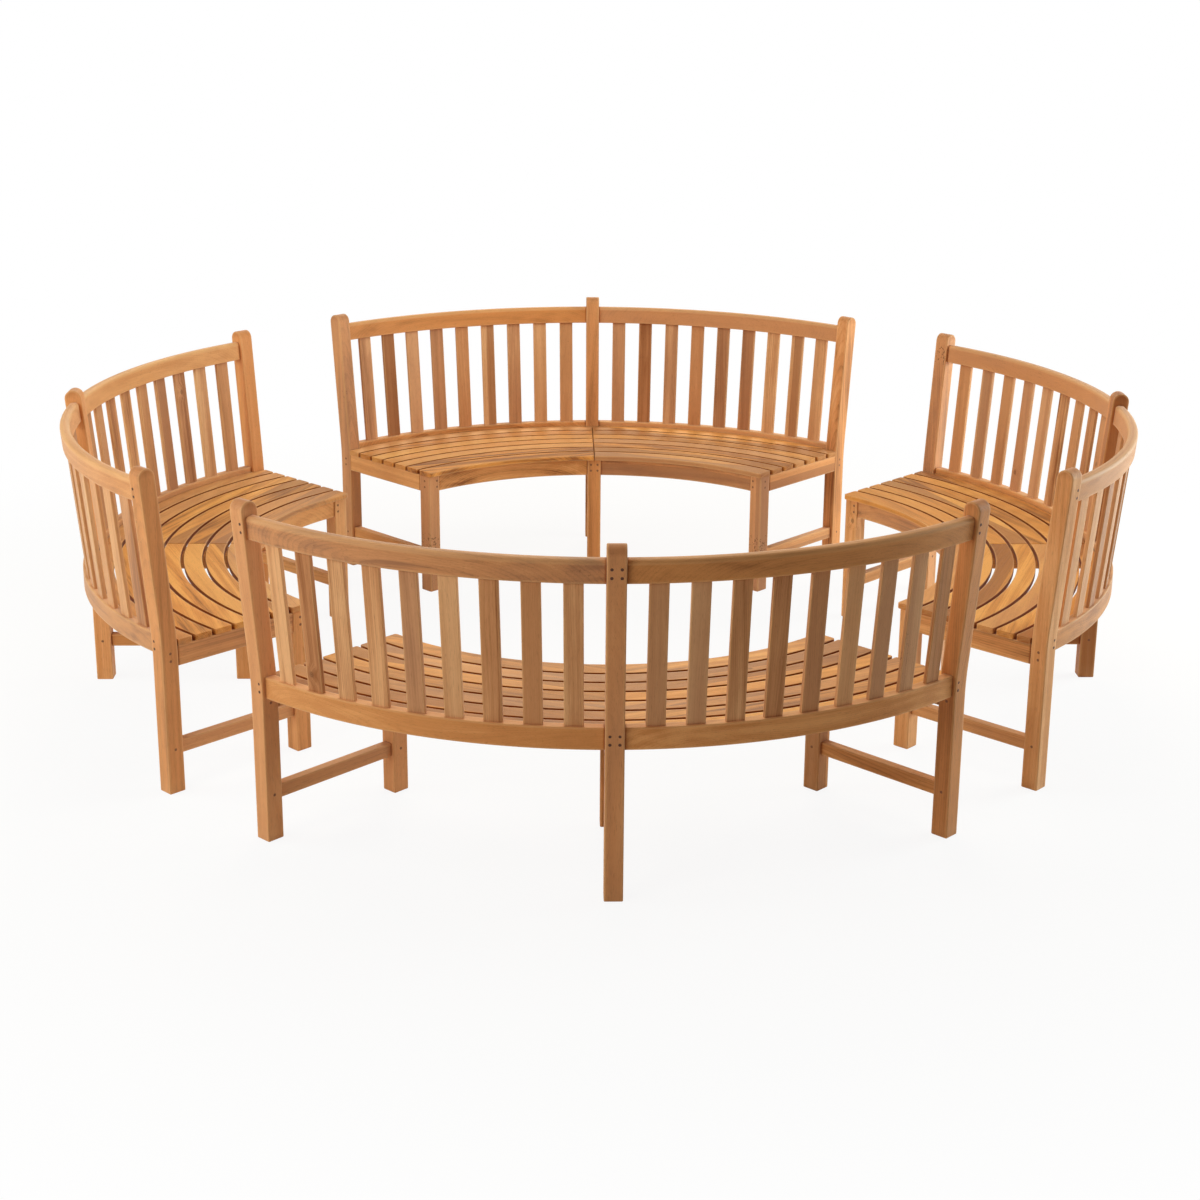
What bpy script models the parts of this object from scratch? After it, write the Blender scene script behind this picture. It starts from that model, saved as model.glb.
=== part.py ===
"""Round garden bench: four curved slatted teak benches that stand in a ring and face its centre.

Each bench has three radial frames, at its left end, its middle and its right end, and two bays
between them. A frame is a cranked back leg, a short front leg, a seat bearer and a low stretcher.
Curved aprons, lower rails and top rails join the frames with blind mortise and tenon joints.
Left and right are those of a person who sits on the bench.
"""
import math

import bmesh
import bpy
from mathutils import Matrix, Vector

# Ring layout, metres and degrees
BENCH_COUNT = 4
BAY_ANGLE = 44.3
WALKWAY_WIDTH = 0.375

# Legs
BACK_LEG_RADIUS = 1.272
FRAME_DEPTH = 0.4365
LEG_WIDTH = 0.048
BACK_LEG_DEPTH = 0.050
FRONT_LEG_DEPTH = 0.050
POST_HEIGHT = 0.928
LEAN_ANGLE = 5.0
CRANK_START = 0.385
CRANK_LENGTH = 0.095

# Seat
SEAT_HEIGHT = 0.440
SEAT_SLAT_COUNT = 7
SEAT_SLAT_THICKNESS = 0.017
SEAT_SLAT_GAP = 0.010
FRONT_SLAT_WIDTH = 0.064
FRONT_OVERHANG = 0.010
FRONT_SLAT_CORNER = 0.008
SLAT_END_OVERHANG = 0.002
SEAM_WIDTH = 0.003
SEAT_BACK_GAP = 0.0035
POST_NOTCH_GAP = 0.002

# Seat bearers, stretchers and aprons
BEARER_HEIGHT = 0.058
STRETCHER_HEIGHT = 0.038
STRETCHER_THICKNESS = 0.028
STRETCHER_CLEAR_HEIGHT = 0.108
APRON_HEIGHT = 0.058
APRON_THICKNESS = 0.025
APRON_SETBACK = 0.005

# Back
TOP_RAIL_HEIGHT = 0.060
TOP_RAIL_THICKNESS = 0.030
TOP_RAIL_ROUNDING = 0.010
CREST_RISE = 0.036
LOWER_RAIL_HEIGHT = 0.058
LOWER_RAIL_THICKNESS = 0.030
LOWER_RAIL_RISE = 0.017
BACK_SLAT_COUNT = 9
BACK_SLAT_WIDTH = 0.048
BACK_SLAT_THICKNESS = 0.012
BACK_SLAT_HOUSING = 0.010
BACK_SLAT_CLEARANCE = 0.0005

# Joints, edges and clearances
TENON_LENGTH = 0.016
TENON_THICKNESS_SHARE = 0.4
TENON_HEIGHT_SHARE = 0.7
TENON_ROOT = 0.006
JOINT_CLEARANCE = 0.0003
LEG_EASING = 0.003
RAIL_EASING = 0.003
CUT_OVERRUN = 0.010
FUSE_OVERLAP = 0.0005

# Facets of the curved shapes
SWEEP_STEPS = 8
SWEEP_OVERRUN_ANGLE = 3.0
CREST_STEPS = 8
CRANK_STEPS = 2
ROUNDING_STEPS = 3
EASING_STEPS = 1
BEVEL_LIMIT_ANGLE = 35.0
FLAT_ANGLE = 0.5

# Teak colours as linear red, green and blue, with roughness
TEAK_FINISHES = {
    "leg_teak": ((0.47, 0.235, 0.105), 0.58),
    "rail_teak": ((0.52, 0.275, 0.125), 0.56),
    "back_teak": ((0.45, 0.220, 0.095), 0.60),
    "seat_teak": ((0.60, 0.335, 0.145), 0.54),
}

# Angles in radians and values that follow from the sizes above
BAY = math.radians(BAY_ANGLE)
LEAN = math.radians(LEAN_ANGLE)
QUARTER_TURN = math.pi / 2
CRANK_RADIUS = CRANK_LENGTH / math.sin(LEAN)
CRANK_END = CRANK_START + CRANK_LENGTH
SEAT_UNDERSIDE = SEAT_HEIGHT - SEAT_SLAT_THICKNESS
UNDER_SEAT_TOP = SEAT_UNDERSIDE - JOINT_CLEARANCE
HALF_LEG = LEG_WIDTH / 2
FRONT_LEG_RADIUS = BACK_LEG_RADIUS - FRAME_DEPTH
FRONT_LEG_FACE = FRONT_LEG_RADIUS - FRONT_LEG_DEPTH / 2
SEAT_FRONT_RADIUS = FRONT_LEG_FACE - FRONT_OVERHANG
LOWER_RAIL_TOP = SEAT_HEIGHT + LOWER_RAIL_RISE
LOWER_RAIL_MIDDLE = LOWER_RAIL_TOP - LOWER_RAIL_HEIGHT / 2
TOP_RAIL_MIDDLE = POST_HEIGHT - CREST_RISE - TOP_RAIL_HEIGHT / 2
BEARER_MIDDLE = SEAT_UNDERSIDE - BEARER_HEIGHT / 2
APRON_MIDDLE = UNDER_SEAT_TOP - APRON_HEIGHT / 2
STRETCHER_MIDDLE = STRETCHER_CLEAR_HEIGHT + STRETCHER_HEIGHT / 2
APRON_RADIUS = FRONT_LEG_FACE + APRON_SETBACK + APRON_THICKNESS / 2


def post_offset(height):
    """How far outwards the back leg's centre line lies at a height."""
    if height <= CRANK_START:
        return 0.0
    if height <= CRANK_END:
        bend = math.asin((height - CRANK_START) / CRANK_RADIUS)
        return CRANK_RADIUS * (1 - math.cos(bend))
    cranked = CRANK_RADIUS * (1 - math.cos(LEAN))
    return cranked + (height - CRANK_END) * math.tan(LEAN)


LOWER_RAIL_RADIUS = BACK_LEG_RADIUS + post_offset(LOWER_RAIL_MIDDLE)
TOP_RAIL_RADIUS = BACK_LEG_RADIUS + post_offset(TOP_RAIL_MIDDLE)
SEAT_BACK_RADIUS = LOWER_RAIL_RADIUS - LOWER_RAIL_THICKNESS / 2 - SEAT_BACK_GAP


def bench_shift():
    """How far a bench's arc centre stands off the ring's centre, for the walkway at the front legs."""
    spread = FRONT_LEG_FACE * (math.cos(BAY) - math.sin(BAY))
    corner = HALF_LEG * (math.cos(BAY) + math.sin(BAY))
    return WALKWAY_WIDTH / math.sqrt(2) - spread + corner


def clear_scene():
    """Remove every object, so that the model starts from nothing."""
    for old in list(bpy.data.objects):
        bpy.data.objects.remove(old, do_unlink=True)


def new_collection(name):
    """A collection linked to the scene."""
    collection = bpy.data.collections.new(name)
    bpy.context.scene.collection.children.link(collection)
    return collection


def teak(name):
    """One teak finish as a Principled material."""
    colour, roughness = TEAK_FINISHES[name]
    material = bpy.data.materials.new(name)
    material.use_nodes = True
    shader = material.node_tree.nodes["Principled BSDF"]
    shader.inputs["Base Color"].default_value = (*colour, 1.0)
    shader.inputs["Roughness"].default_value = roughness
    shader.inputs["Metallic"].default_value = 0.0
    return material


def mesh_object(name, shape, collection):
    """Turn a bmesh into an object whose faces point out."""
    bmesh.ops.recalc_face_normals(shape, faces=shape.faces)
    mesh = bpy.data.meshes.new(name)
    shape.to_mesh(mesh)
    shape.free()
    item = bpy.data.objects.new(name, mesh)
    collection.objects.link(item)
    return item


def hide_tool(item):
    """A cutter or a filler is drawn as wires and never rendered."""
    item.hide_render = True
    item.display_type = "WIRE"
    return item


def evaluated_mesh(item, name):
    """The item's mesh with its modifiers worked in."""
    bpy.context.view_layer.update()
    graph = bpy.context.evaluated_depsgraph_get()
    mesh = bpy.data.meshes.new_from_object(item.evaluated_get(graph))
    mesh.name = name
    return mesh


def combine(item, others, operation):
    """Add or subtract other solids with Boolean modifiers and keep the result as plain mesh."""
    for other in others:
        modifier = item.modifiers.new(other.name, "BOOLEAN")
        modifier.operation = operation
        modifier.solver = "EXACT"
        modifier.object = other
    finished = evaluated_mesh(item, item.name)
    item.modifiers.clear()
    item.data = finished
    return item


def ease_edges(item, width):
    """Take the sharp arrises off a straight member."""
    modifier = item.modifiers.new("eased edges", "BEVEL")
    modifier.width = width
    modifier.segments = EASING_STEPS
    modifier.limit_method = "ANGLE"
    modifier.angle_limit = math.radians(BEVEL_LIMIT_ANGLE)
    finished = evaluated_mesh(item, item.name)
    item.modifiers.clear()
    item.data = finished
    return item


def block(name, size, place, collection):
    """A box of the given size, centred where the place matrix puts it."""
    shape = bmesh.new()
    bmesh.ops.create_cube(shape, size=1.0)
    scaled = Matrix.Diagonal((*size, 1.0))
    bmesh.ops.transform(shape, matrix=place @ scaled, verts=shape.verts)
    return mesh_object(name, shape, collection)


def board_from_outline(name, points, thickness, collection):
    """A flat outline in the radial plane, given the leg's width across it."""
    curve = bpy.data.curves.new(name, "CURVE")
    curve.dimensions = "2D"
    curve.fill_mode = "BOTH"
    curve.extrude = thickness / 2
    spline = curve.splines.new("POLY")
    spline.points.add(len(points) - 1)
    for target, (across, up) in zip(spline.points, points):
        target.co = (across, up, 0.0, 1.0)
    spline.use_cyclic_u = True
    drawing = bpy.data.objects.new(name, curve)
    collection.objects.link(drawing)
    mesh = evaluated_mesh(drawing, name)
    bpy.data.objects.remove(drawing, do_unlink=True)
    shape = bmesh.new()
    shape.from_mesh(mesh)
    bmesh.ops.remove_doubles(shape, verts=shape.verts, dist=JOINT_CLEARANCE / 2)
    flat = math.radians(FLAT_ANGLE)
    bmesh.ops.dissolve_limit(shape, angle_limit=flat, verts=shape.verts, edges=shape.edges)
    upright = Matrix.Rotation(QUARTER_TURN, 4, "X")
    bmesh.ops.transform(shape, matrix=upright, verts=shape.verts)
    return mesh_object(name, shape, collection)


def arc_points(centre, radius, start, sweep, steps):
    """Points along an arc, both ends included."""
    points = []
    for step in range(steps + 1):
        angle = start + sweep * step / steps
        points.append((centre[0] + radius * math.cos(angle), centre[1] + radius * math.sin(angle)))
    return points


def rounded_section(width, height, top_radius, top_steps):
    """A board's cross section about its centre, with rounded top edges and eased bottom edges."""
    side = width / 2
    rise = height / 2
    easing = RAIL_EASING
    points = arc_points((easing - side, easing - rise), easing, math.pi, QUARTER_TURN, EASING_STEPS)
    points += arc_points((side - easing, easing - rise), easing, -QUARTER_TURN, QUARTER_TURN, EASING_STEPS)
    points += arc_points((side - top_radius, rise - top_radius), top_radius, 0.0, QUARTER_TURN, top_steps)
    inner_edge = (top_radius - side, rise - top_radius)
    points += arc_points(inner_edge, top_radius, QUARTER_TURN, QUARTER_TURN, top_steps)
    return points


def plain_section(width, height):
    """A rectangular cross section about its centre."""
    side = width / 2
    rise = height / 2
    return [(-side, -rise), (side, -rise), (side, rise), (-side, rise)]


def placed_section(section, radius, height, lean):
    """Move a cross section to its radius and height, leaning outwards."""
    placed = []
    for across, up in section:
        outward = radius + across * math.cos(lean) + up * math.sin(lean)
        placed.append((outward, height + up * math.cos(lean) - across * math.sin(lean)))
    return placed


def sweep(section, middle_angle):
    """Sweep a cross section round the arc centre, a little past both ends of a bay."""
    span = BAY + 2 * math.radians(SWEEP_OVERRUN_ANGLE)
    start = Matrix.Rotation(middle_angle - span / 2, 4, "Z")
    shape = bmesh.new()
    corners = [shape.verts.new(start @ Vector((outward, 0.0, up))) for outward, up in section]
    edges = [shape.edges.new((corner, corners[index - 1])) for index, corner in enumerate(corners)]
    bmesh.ops.spin(
        shape,
        geom=corners + edges,
        cent=(0.0, 0.0, 0.0),
        axis=(0.0, 0.0, 1.0),
        angle=span,
        steps=SWEEP_STEPS,
    )
    return shape


def saw(shape, frame_angle, offset, keep):
    """Saw a swept board along a plane beside a frame and close the cut."""
    tangent = Vector((-math.sin(frame_angle), math.cos(frame_angle), 0.0))
    saw_plane(shape, tangent * offset, tangent * -keep)


def lies_on(edge, point, normal):
    """Whether both ends of an edge lie on a plane."""
    return all(abs((corner.co - point).dot(normal)) < JOINT_CLEARANCE for corner in edge.verts)


def saw_plane(shape, point, waste_side):
    """Remove what lies on the waste side of a plane and close the cut."""
    everything = shape.verts[:] + shape.edges[:] + shape.faces[:]
    bmesh.ops.bisect_plane(
        shape,
        geom=everything,
        dist=JOINT_CLEARANCE / 10,
        plane_co=point,
        plane_no=waste_side,
        clear_outer=True,
    )
    on_cut = [edge for edge in shape.edges if edge.is_boundary and lies_on(edge, point, waste_side)]
    bmesh.ops.edgeloop_fill(shape, edges=on_cut)


def leg_place(angle, radius):
    """Where a leg's foot stands, with X pointing out along the frame."""
    return Matrix.Rotation(angle, 4, "Z") @ Matrix.Translation((radius, 0.0, 0.0))


def tongue(name, place, face, reach, thickness, height, clearance, root, collection):
    """A tenon, or the cutter for its mortise when it is given a clearance.

    It runs along the place's X axis from outside the leg's face, towards the leg's middle.
    """
    start = face + root
    end = face - reach - clearance
    size = (start - end, thickness + 2 * clearance, height + 2 * clearance)
    return block(name, size, place @ Matrix.Translation(((start + end) / 2, 0.0, 0.0)), collection)


def side_joint(offset, height, lean, side):
    """A joint in a leg's side face, with X pointing out of the face, from the leg's foot."""
    tilt = Matrix.Rotation(lean, 4, "Y")
    turn = Matrix.Rotation(side * QUARTER_TURN, 4, "Z")
    return Matrix.Translation((offset, 0.0, height)) @ tilt @ turn


def radial_joint(height, direction):
    """A joint in a leg's inner or outer face, with X pointing out of the face."""
    turn = Matrix.Rotation(0.0 if direction > 0 else math.pi, 4, "Z")
    return Matrix.Translation((0.0, 0.0, height)) @ turn


def side_member(kind):
    """A rail or apron at a leg: its centre from the leg's, its height and lean, and its section."""
    if kind == "top_rail":
        return post_offset(TOP_RAIL_MIDDLE), TOP_RAIL_MIDDLE, LEAN, TOP_RAIL_THICKNESS, TOP_RAIL_HEIGHT
    if kind == "lower_rail":
        offset = post_offset(LOWER_RAIL_MIDDLE)
        return offset, LOWER_RAIL_MIDDLE, 0.0, LOWER_RAIL_THICKNESS, LOWER_RAIL_HEIGHT
    return APRON_RADIUS - FRONT_LEG_RADIUS, APRON_MIDDLE, 0.0, APRON_THICKNESS, APRON_HEIGHT


def side_tongue(kind, place, side, mortise, collection):
    """The tenon of a rail or apron in a leg's side face, or its mortise cutter."""
    offset, height, lean, thickness, depth = side_member(kind)
    clearance = JOINT_CLEARANCE if mortise else 0.0
    root = CUT_OVERRUN if mortise else TENON_ROOT
    return tongue(
        f"{kind}_{'mortise' if mortise else 'tenon'}",
        place @ side_joint(offset, height, lean, side),
        HALF_LEG,
        TENON_LENGTH,
        thickness * TENON_THICKNESS_SHARE,
        depth * TENON_HEIGHT_SHARE,
        clearance,
        root,
        collection,
    )


def radial_tongue(kind, place, leg_depth, direction, mortise, collection):
    """The tenon of a bearer or stretcher in a leg's inner or outer face, or its mortise cutter."""
    members = {
        "bearer": (BEARER_MIDDLE, LEG_WIDTH, BEARER_HEIGHT),
        "stretcher": (STRETCHER_MIDDLE, STRETCHER_THICKNESS, STRETCHER_HEIGHT),
    }
    height, thickness, depth = members[kind]
    clearance = JOINT_CLEARANCE if mortise else 0.0
    root = CUT_OVERRUN if mortise else TENON_ROOT
    return tongue(
        f"{kind}_{'mortise' if mortise else 'tenon'}",
        place @ radial_joint(height, direction),
        leg_depth / 2,
        TENON_LENGTH,
        thickness * TENON_THICKNESS_SHARE,
        depth * TENON_HEIGHT_SHARE,
        clearance,
        root,
        collection,
    )


def bay_sides(end):
    """The sides of a frame that a bay joins: both at the middle, and the inner one at an end."""
    return (-1, 1) if end == 0 else (-end,)


def back_leg_outline():
    """The cranked back leg from the side: upright foot, gentle crank, leaning post, half-round crest."""
    half = BACK_LEG_DEPTH / 2
    crank_centre = (CRANK_RADIUS, CRANK_START)
    outer = [(half, 0.0)] + arc_points(crank_centre, CRANK_RADIUS - half, math.pi, -LEAN, CRANK_STEPS)
    inner = [(-half, 0.0)] + arc_points(crank_centre, CRANK_RADIUS + half, math.pi, -LEAN, CRANK_STEPS)
    crest_height = POST_HEIGHT - half
    crest_centre = (post_offset(crest_height), crest_height)
    crest = arc_points(crest_centre, half, -LEAN, math.pi, CREST_STEPS)
    return outer + crest + inner[::-1]


def back_leg(end, tools):
    """A back leg with its mortises for the top rails, lower rails, bearer and stretcher."""
    leg = board_from_outline("back_leg", back_leg_outline(), LEG_WIDTH, tools)
    ease_edges(leg, LEG_EASING)
    here = Matrix.Identity(4)
    cutters = []
    for side in bay_sides(end):
        cutters.append(side_tongue("top_rail", here, side, True, tools))
        cutters.append(side_tongue("lower_rail", here, side, True, tools))
    cutters.append(radial_tongue("bearer", here, BACK_LEG_DEPTH, -1, True, tools))
    cutters.append(radial_tongue("stretcher", here, BACK_LEG_DEPTH, -1, True, tools))
    return combine(leg, [hide_tool(cutter) for cutter in cutters], "DIFFERENCE")


def front_leg(end, tools):
    """A front leg with its mortises for the aprons, bearer and stretcher."""
    size = (FRONT_LEG_DEPTH, LEG_WIDTH, UNDER_SEAT_TOP)
    leg = block("front_leg", size, Matrix.Translation((0.0, 0.0, UNDER_SEAT_TOP / 2)), tools)
    ease_edges(leg, LEG_EASING)
    here = Matrix.Identity(4)
    cutters = [side_tongue("apron", here, side, True, tools) for side in bay_sides(end)]
    cutters.append(radial_tongue("bearer", here, FRONT_LEG_DEPTH, 1, True, tools))
    if end != 0:
        cutters.append(radial_tongue("stretcher", here, FRONT_LEG_DEPTH, 1, True, tools))
    combine(leg, [hide_tool(cutter) for cutter in cutters], "DIFFERENCE")
    if end == 0:
        bar = stretcher(tools, -FRONT_LEG_RADIUS, False)
        combine(leg, [bar], "UNION")
        bpy.data.objects.remove(bar, do_unlink=True)
    return leg


def radial_span():
    """From the front leg's outer face to the back leg's inner face, less the joint gaps."""
    start = FRONT_LEG_RADIUS + FRONT_LEG_DEPTH / 2 + JOINT_CLEARANCE
    end = BACK_LEG_RADIUS - BACK_LEG_DEPTH / 2 - JOINT_CLEARANCE
    return start, end


def radial_tenons(kind, shift, front_too, tools):
    """The tenons at the ends of a bearer or stretcher that lies along a frame."""
    back = Matrix.Translation((BACK_LEG_RADIUS + shift, 0.0, 0.0))
    front = Matrix.Translation((FRONT_LEG_RADIUS + shift, 0.0, 0.0))
    tenons = [radial_tongue(kind, back, BACK_LEG_DEPTH, -1, False, tools)]
    if front_too:
        tenons.append(radial_tongue(kind, front, FRONT_LEG_DEPTH, 1, False, tools))
    return tenons


def stretcher(tools, shift, front_joint):
    """A low stretcher along a frame, which is fused to the leg where it has no front joint."""
    start, end = radial_span()
    if not front_joint:
        start = FRONT_LEG_RADIUS + FRONT_LEG_DEPTH / 2 - TENON_LENGTH
    size = (end - start, STRETCHER_THICKNESS, STRETCHER_HEIGHT)
    place = Matrix.Translation(((start + end) / 2 + shift, 0.0, STRETCHER_MIDDLE))
    bar = block("stretcher", size, place, tools)
    ease_edges(bar, RAIL_EASING)
    tenons = radial_tenons("stretcher", shift, front_joint, tools)
    combine(bar, tenons, "UNION")
    for tenon in tenons:
        bpy.data.objects.remove(tenon, do_unlink=True)
    return bar


def curved_rail(kind, section, radius, height, lean, leg_radius, tools):
    """A curved member between two frames, centred on its bay, with a tenon at each end."""
    shape = sweep(placed_section(section, radius, height, lean), 0.0)
    for side in (-1, 1):
        saw(shape, side * BAY / 2, -side * (HALF_LEG + JOINT_CLEARANCE), -side)
    rail = mesh_object(kind, shape, tools)
    tenons = []
    for side in (-1, 1):
        place = leg_place(side * BAY / 2, leg_radius)
        tenons.append(side_tongue(kind, place, -side, False, tools))
    combine(rail, tenons, "UNION")
    for tenon in tenons:
        bpy.data.objects.remove(tenon, do_unlink=True)
    return rail


def apron(tools):
    """The curved rail between two front legs, under the seat's front edge."""
    section = rounded_section(APRON_THICKNESS, APRON_HEIGHT, RAIL_EASING, EASING_STEPS)
    return curved_rail("apron", section, APRON_RADIUS, APRON_MIDDLE, 0.0, FRONT_LEG_RADIUS, tools)


def top_rail(tools):
    """The curved top rail, leaning with the posts, with its upper edges rounded over."""
    section = rounded_section(TOP_RAIL_THICKNESS, TOP_RAIL_HEIGHT, TOP_RAIL_ROUNDING, ROUNDING_STEPS)
    return curved_rail("top_rail", section, TOP_RAIL_RADIUS, TOP_RAIL_MIDDLE, LEAN, BACK_LEG_RADIUS, tools)


def back_slat(index, tools):
    """One leaning back slat, from its housing in the lower rail up to the top rail's underside."""
    low = LOWER_RAIL_TOP - BACK_SLAT_HOUSING
    high = TOP_RAIL_MIDDLE - (TOP_RAIL_HEIGHT / 2 + BACK_SLAT_CLEARANCE) * math.cos(LEAN)
    middle = (low + high) / 2
    radius = BACK_LEG_RADIUS + post_offset(high) - (high - middle) * math.tan(LEAN)
    angle = BAY * index / (BACK_SLAT_COUNT + 1) - BAY / 2
    place = leg_place(angle, radius) @ Matrix.Translation((0.0, 0.0, middle)) @ Matrix.Rotation(LEAN, 4, "Y")
    size = (BACK_SLAT_THICKNESS, BACK_SLAT_WIDTH, (high - low) / math.cos(LEAN))
    return block("back_slat", size, place, tools)


def slatted_back(tools):
    """The lower rail of a bay with the back slats that stand in it."""
    section = rounded_section(LOWER_RAIL_THICKNESS, LOWER_RAIL_HEIGHT, RAIL_EASING, EASING_STEPS)
    rail = curved_rail(
        "lower_rail", section, LOWER_RAIL_RADIUS, LOWER_RAIL_MIDDLE, 0.0, BACK_LEG_RADIUS, tools
    )
    slats = [back_slat(index, tools) for index in range(1, BACK_SLAT_COUNT + 1)]
    combine(rail, slats, "UNION")
    for slat in slats:
        bpy.data.objects.remove(slat, do_unlink=True)
    return rail


def seat_slat_radii():
    """The inner and outer radius of each seat slat, from the front one to the back one."""
    depth = SEAT_BACK_RADIUS - SEAT_FRONT_RADIUS
    others = SEAT_SLAT_COUNT - 1
    width = (depth - FRONT_SLAT_WIDTH - others * SEAT_SLAT_GAP) / others
    radii = [(SEAT_FRONT_RADIUS, SEAT_FRONT_RADIUS + FRONT_SLAT_WIDTH)]
    for _ in range(others):
        inner = radii[-1][1] + SEAT_SLAT_GAP
        radii.append((inner, inner + width))
    return radii


def seat_slat(inner, outer, side, tools):
    """One curved seat slat of a bay, from the seam over the middle bearer to just past the end bearer."""
    section = plain_section(outer - inner, SEAT_SLAT_THICKNESS)
    middle = SEAT_HEIGHT - SEAT_SLAT_THICKNESS / 2
    shape = sweep(placed_section(section, (inner + outer) / 2, middle, 0.0), side * BAY / 2)
    saw(shape, 0.0, side * SEAM_WIDTH / 2, side)
    end = HALF_LEG + SLAT_END_OVERHANG
    saw(shape, side * BAY, side * end, -side)
    if inner == SEAT_FRONT_RADIUS:
        corner = leg_place(side * BAY, inner) @ Vector((0.0, side * (end - FRONT_SLAT_CORNER), 0.0))
        waste = Matrix.Rotation(side * BAY, 4, "Z") @ Vector((-1.0, side, 0.0)).normalized()
        saw_plane(shape, corner, waste)
    return mesh_object("seat_slat", shape, tools)


def bearer(end, tools):
    """A seat bearer along a frame, as wide as the legs, with a tenon at each end."""
    start, stop = radial_span()
    height = BEARER_HEIGHT + FUSE_OVERLAP
    place = Matrix.Translation(((start + stop) / 2, 0.0, BEARER_MIDDLE + FUSE_OVERLAP / 2))
    bar = block("bearer", (stop - start, LEG_WIDTH, height), place, tools)
    tenons = radial_tenons("bearer", 0.0, True, tools)
    combine(bar, tenons, "UNION")
    for tenon in tenons:
        bpy.data.objects.remove(tenon, do_unlink=True)
    bar.data.transform(Matrix.Rotation(end * BAY, 4, "Z"))
    return bar


def post_notch(end, tools):
    """The cutter that notches the back seat slats round a back leg."""
    half_width = HALF_LEG + POST_NOTCH_GAP
    depth = BACK_LEG_DEPTH + 2 * POST_NOTCH_GAP
    outer_side = CUT_OVERRUN if end else 0.0
    size = (depth, 2 * half_width + outer_side, SEAT_SLAT_THICKNESS + 2 * CUT_OVERRUN)
    middle = SEAT_HEIGHT - SEAT_SLAT_THICKNESS / 2
    place = leg_place(end * BAY, BACK_LEG_RADIUS) @ Matrix.Translation((0.0, end * outer_side / 2, middle))
    return hide_tool(block("post_notch", size, place, tools))


def seat_deck(tools):
    """The three bearers of a bench with the seat slats that are fixed to them."""
    deck = bearer(0, tools)
    parts = [bearer(-1, tools), bearer(1, tools)]
    for side in (-1, 1):
        slats = [seat_slat(inner, outer, side, tools) for inner, outer in seat_slat_radii()]
        combine(slats[-1], [post_notch(0, tools), post_notch(side, tools)], "DIFFERENCE")
        parts += slats
    combine(deck, parts, "UNION")
    for part in parts:
        bpy.data.objects.remove(part, do_unlink=True)
    return deck


def make_pieces(tools):
    """Every piece of one bench: name, mesh, finish, frame or bay, and distance from the arc's centre."""
    ends = {"left": -1, "middle": 0, "right": 1}
    pieces = []
    for name, end in ends.items():
        pieces.append((f"back_leg_{name}", back_leg(end, tools), "leg_teak", end, BACK_LEG_RADIUS))
    for name, end in ends.items():
        label = f"front_leg_{name}" if end else "front_leg_and_stretcher_middle"
        pieces.append((label, front_leg(end, tools), "leg_teak", end, FRONT_LEG_RADIUS))
    side_bar = stretcher(tools, 0.0, True)
    curved = {"apron": (apron(tools), "rail_teak"), "top_rail": (top_rail(tools), "rail_teak")}
    curved["slatted_back"] = (slatted_back(tools), "back_teak")
    for name in ("left", "right"):
        pieces.append((f"stretcher_{name}", side_bar, "rail_teak", ends[name], 0.0))
        for kind, (item, finish) in curved.items():
            pieces.append((f"{kind}_{name}", item, finish, ends[name] / 2, 0.0))
    pieces.append(("seat_deck", seat_deck(tools), "seat_teak", 0, 0.0))
    return pieces


def empty(name, place, parent, collection):
    """An empty that carries the pieces of a bench or a frame."""
    carrier = bpy.data.objects.new(name, None)
    collection.objects.link(carrier)
    carrier.parent = parent
    carrier.matrix_local = place
    return carrier


def place_bench(number, pieces, finishes, ring, collection):
    """Stand one bench in the ring, sharing the meshes of its pieces with the other benches."""
    turn = Matrix.Rotation(2 * math.pi * (number - 1) / BENCH_COUNT - QUARTER_TURN, 4, "Z")
    bench = empty(f"bench_{number}", turn @ Matrix.Translation((bench_shift(), 0.0, 0.0)), ring, collection)
    carriers = {}
    for name, source, finish, bays, radius in pieces:
        if bays not in carriers:
            place = Matrix.Rotation(bays * BAY, 4, "Z")
            carriers[bays] = empty(f"bench_{number}_carrier_{len(carriers)}", place, bench, collection)
        item = bpy.data.objects.new(f"bench_{number}_{name}", source.data)
        collection.objects.link(item)
        item.parent = carriers[bays]
        item.location = (radius, 0.0, 0.0)
        if not source.data.materials:
            source.data.materials.append(finishes[finish])


def build():
    """Make the pieces of one bench and stand the benches in a ring."""
    clear_scene()
    parts = new_collection("round_garden_bench")
    tools = new_collection("cutters")
    finishes = {name: teak(name) for name in TEAK_FINISHES}
    pieces = make_pieces(tools)
    ring = empty("ring_centre", Matrix.Identity(4), None, parts)
    for number in range(1, BENCH_COUNT + 1):
        place_bench(number, pieces, finishes, ring, parts)
    for source in {item for _, item, _, _, _ in pieces}:
        bpy.data.objects.remove(source, do_unlink=True)


build()
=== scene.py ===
"""Dresses the round garden bench: four curved teak benches round an open centre, board by board.

Every visible board is made again with eased edges and its own grain. Curved boards are bent, slats
are set out and pegs are placed by Geometry Nodes. Left and right are those of a sitter.
"""
import math
import random

import bmesh
import bpy
import numpy as np
from mathutils import Matrix, Vector


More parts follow.
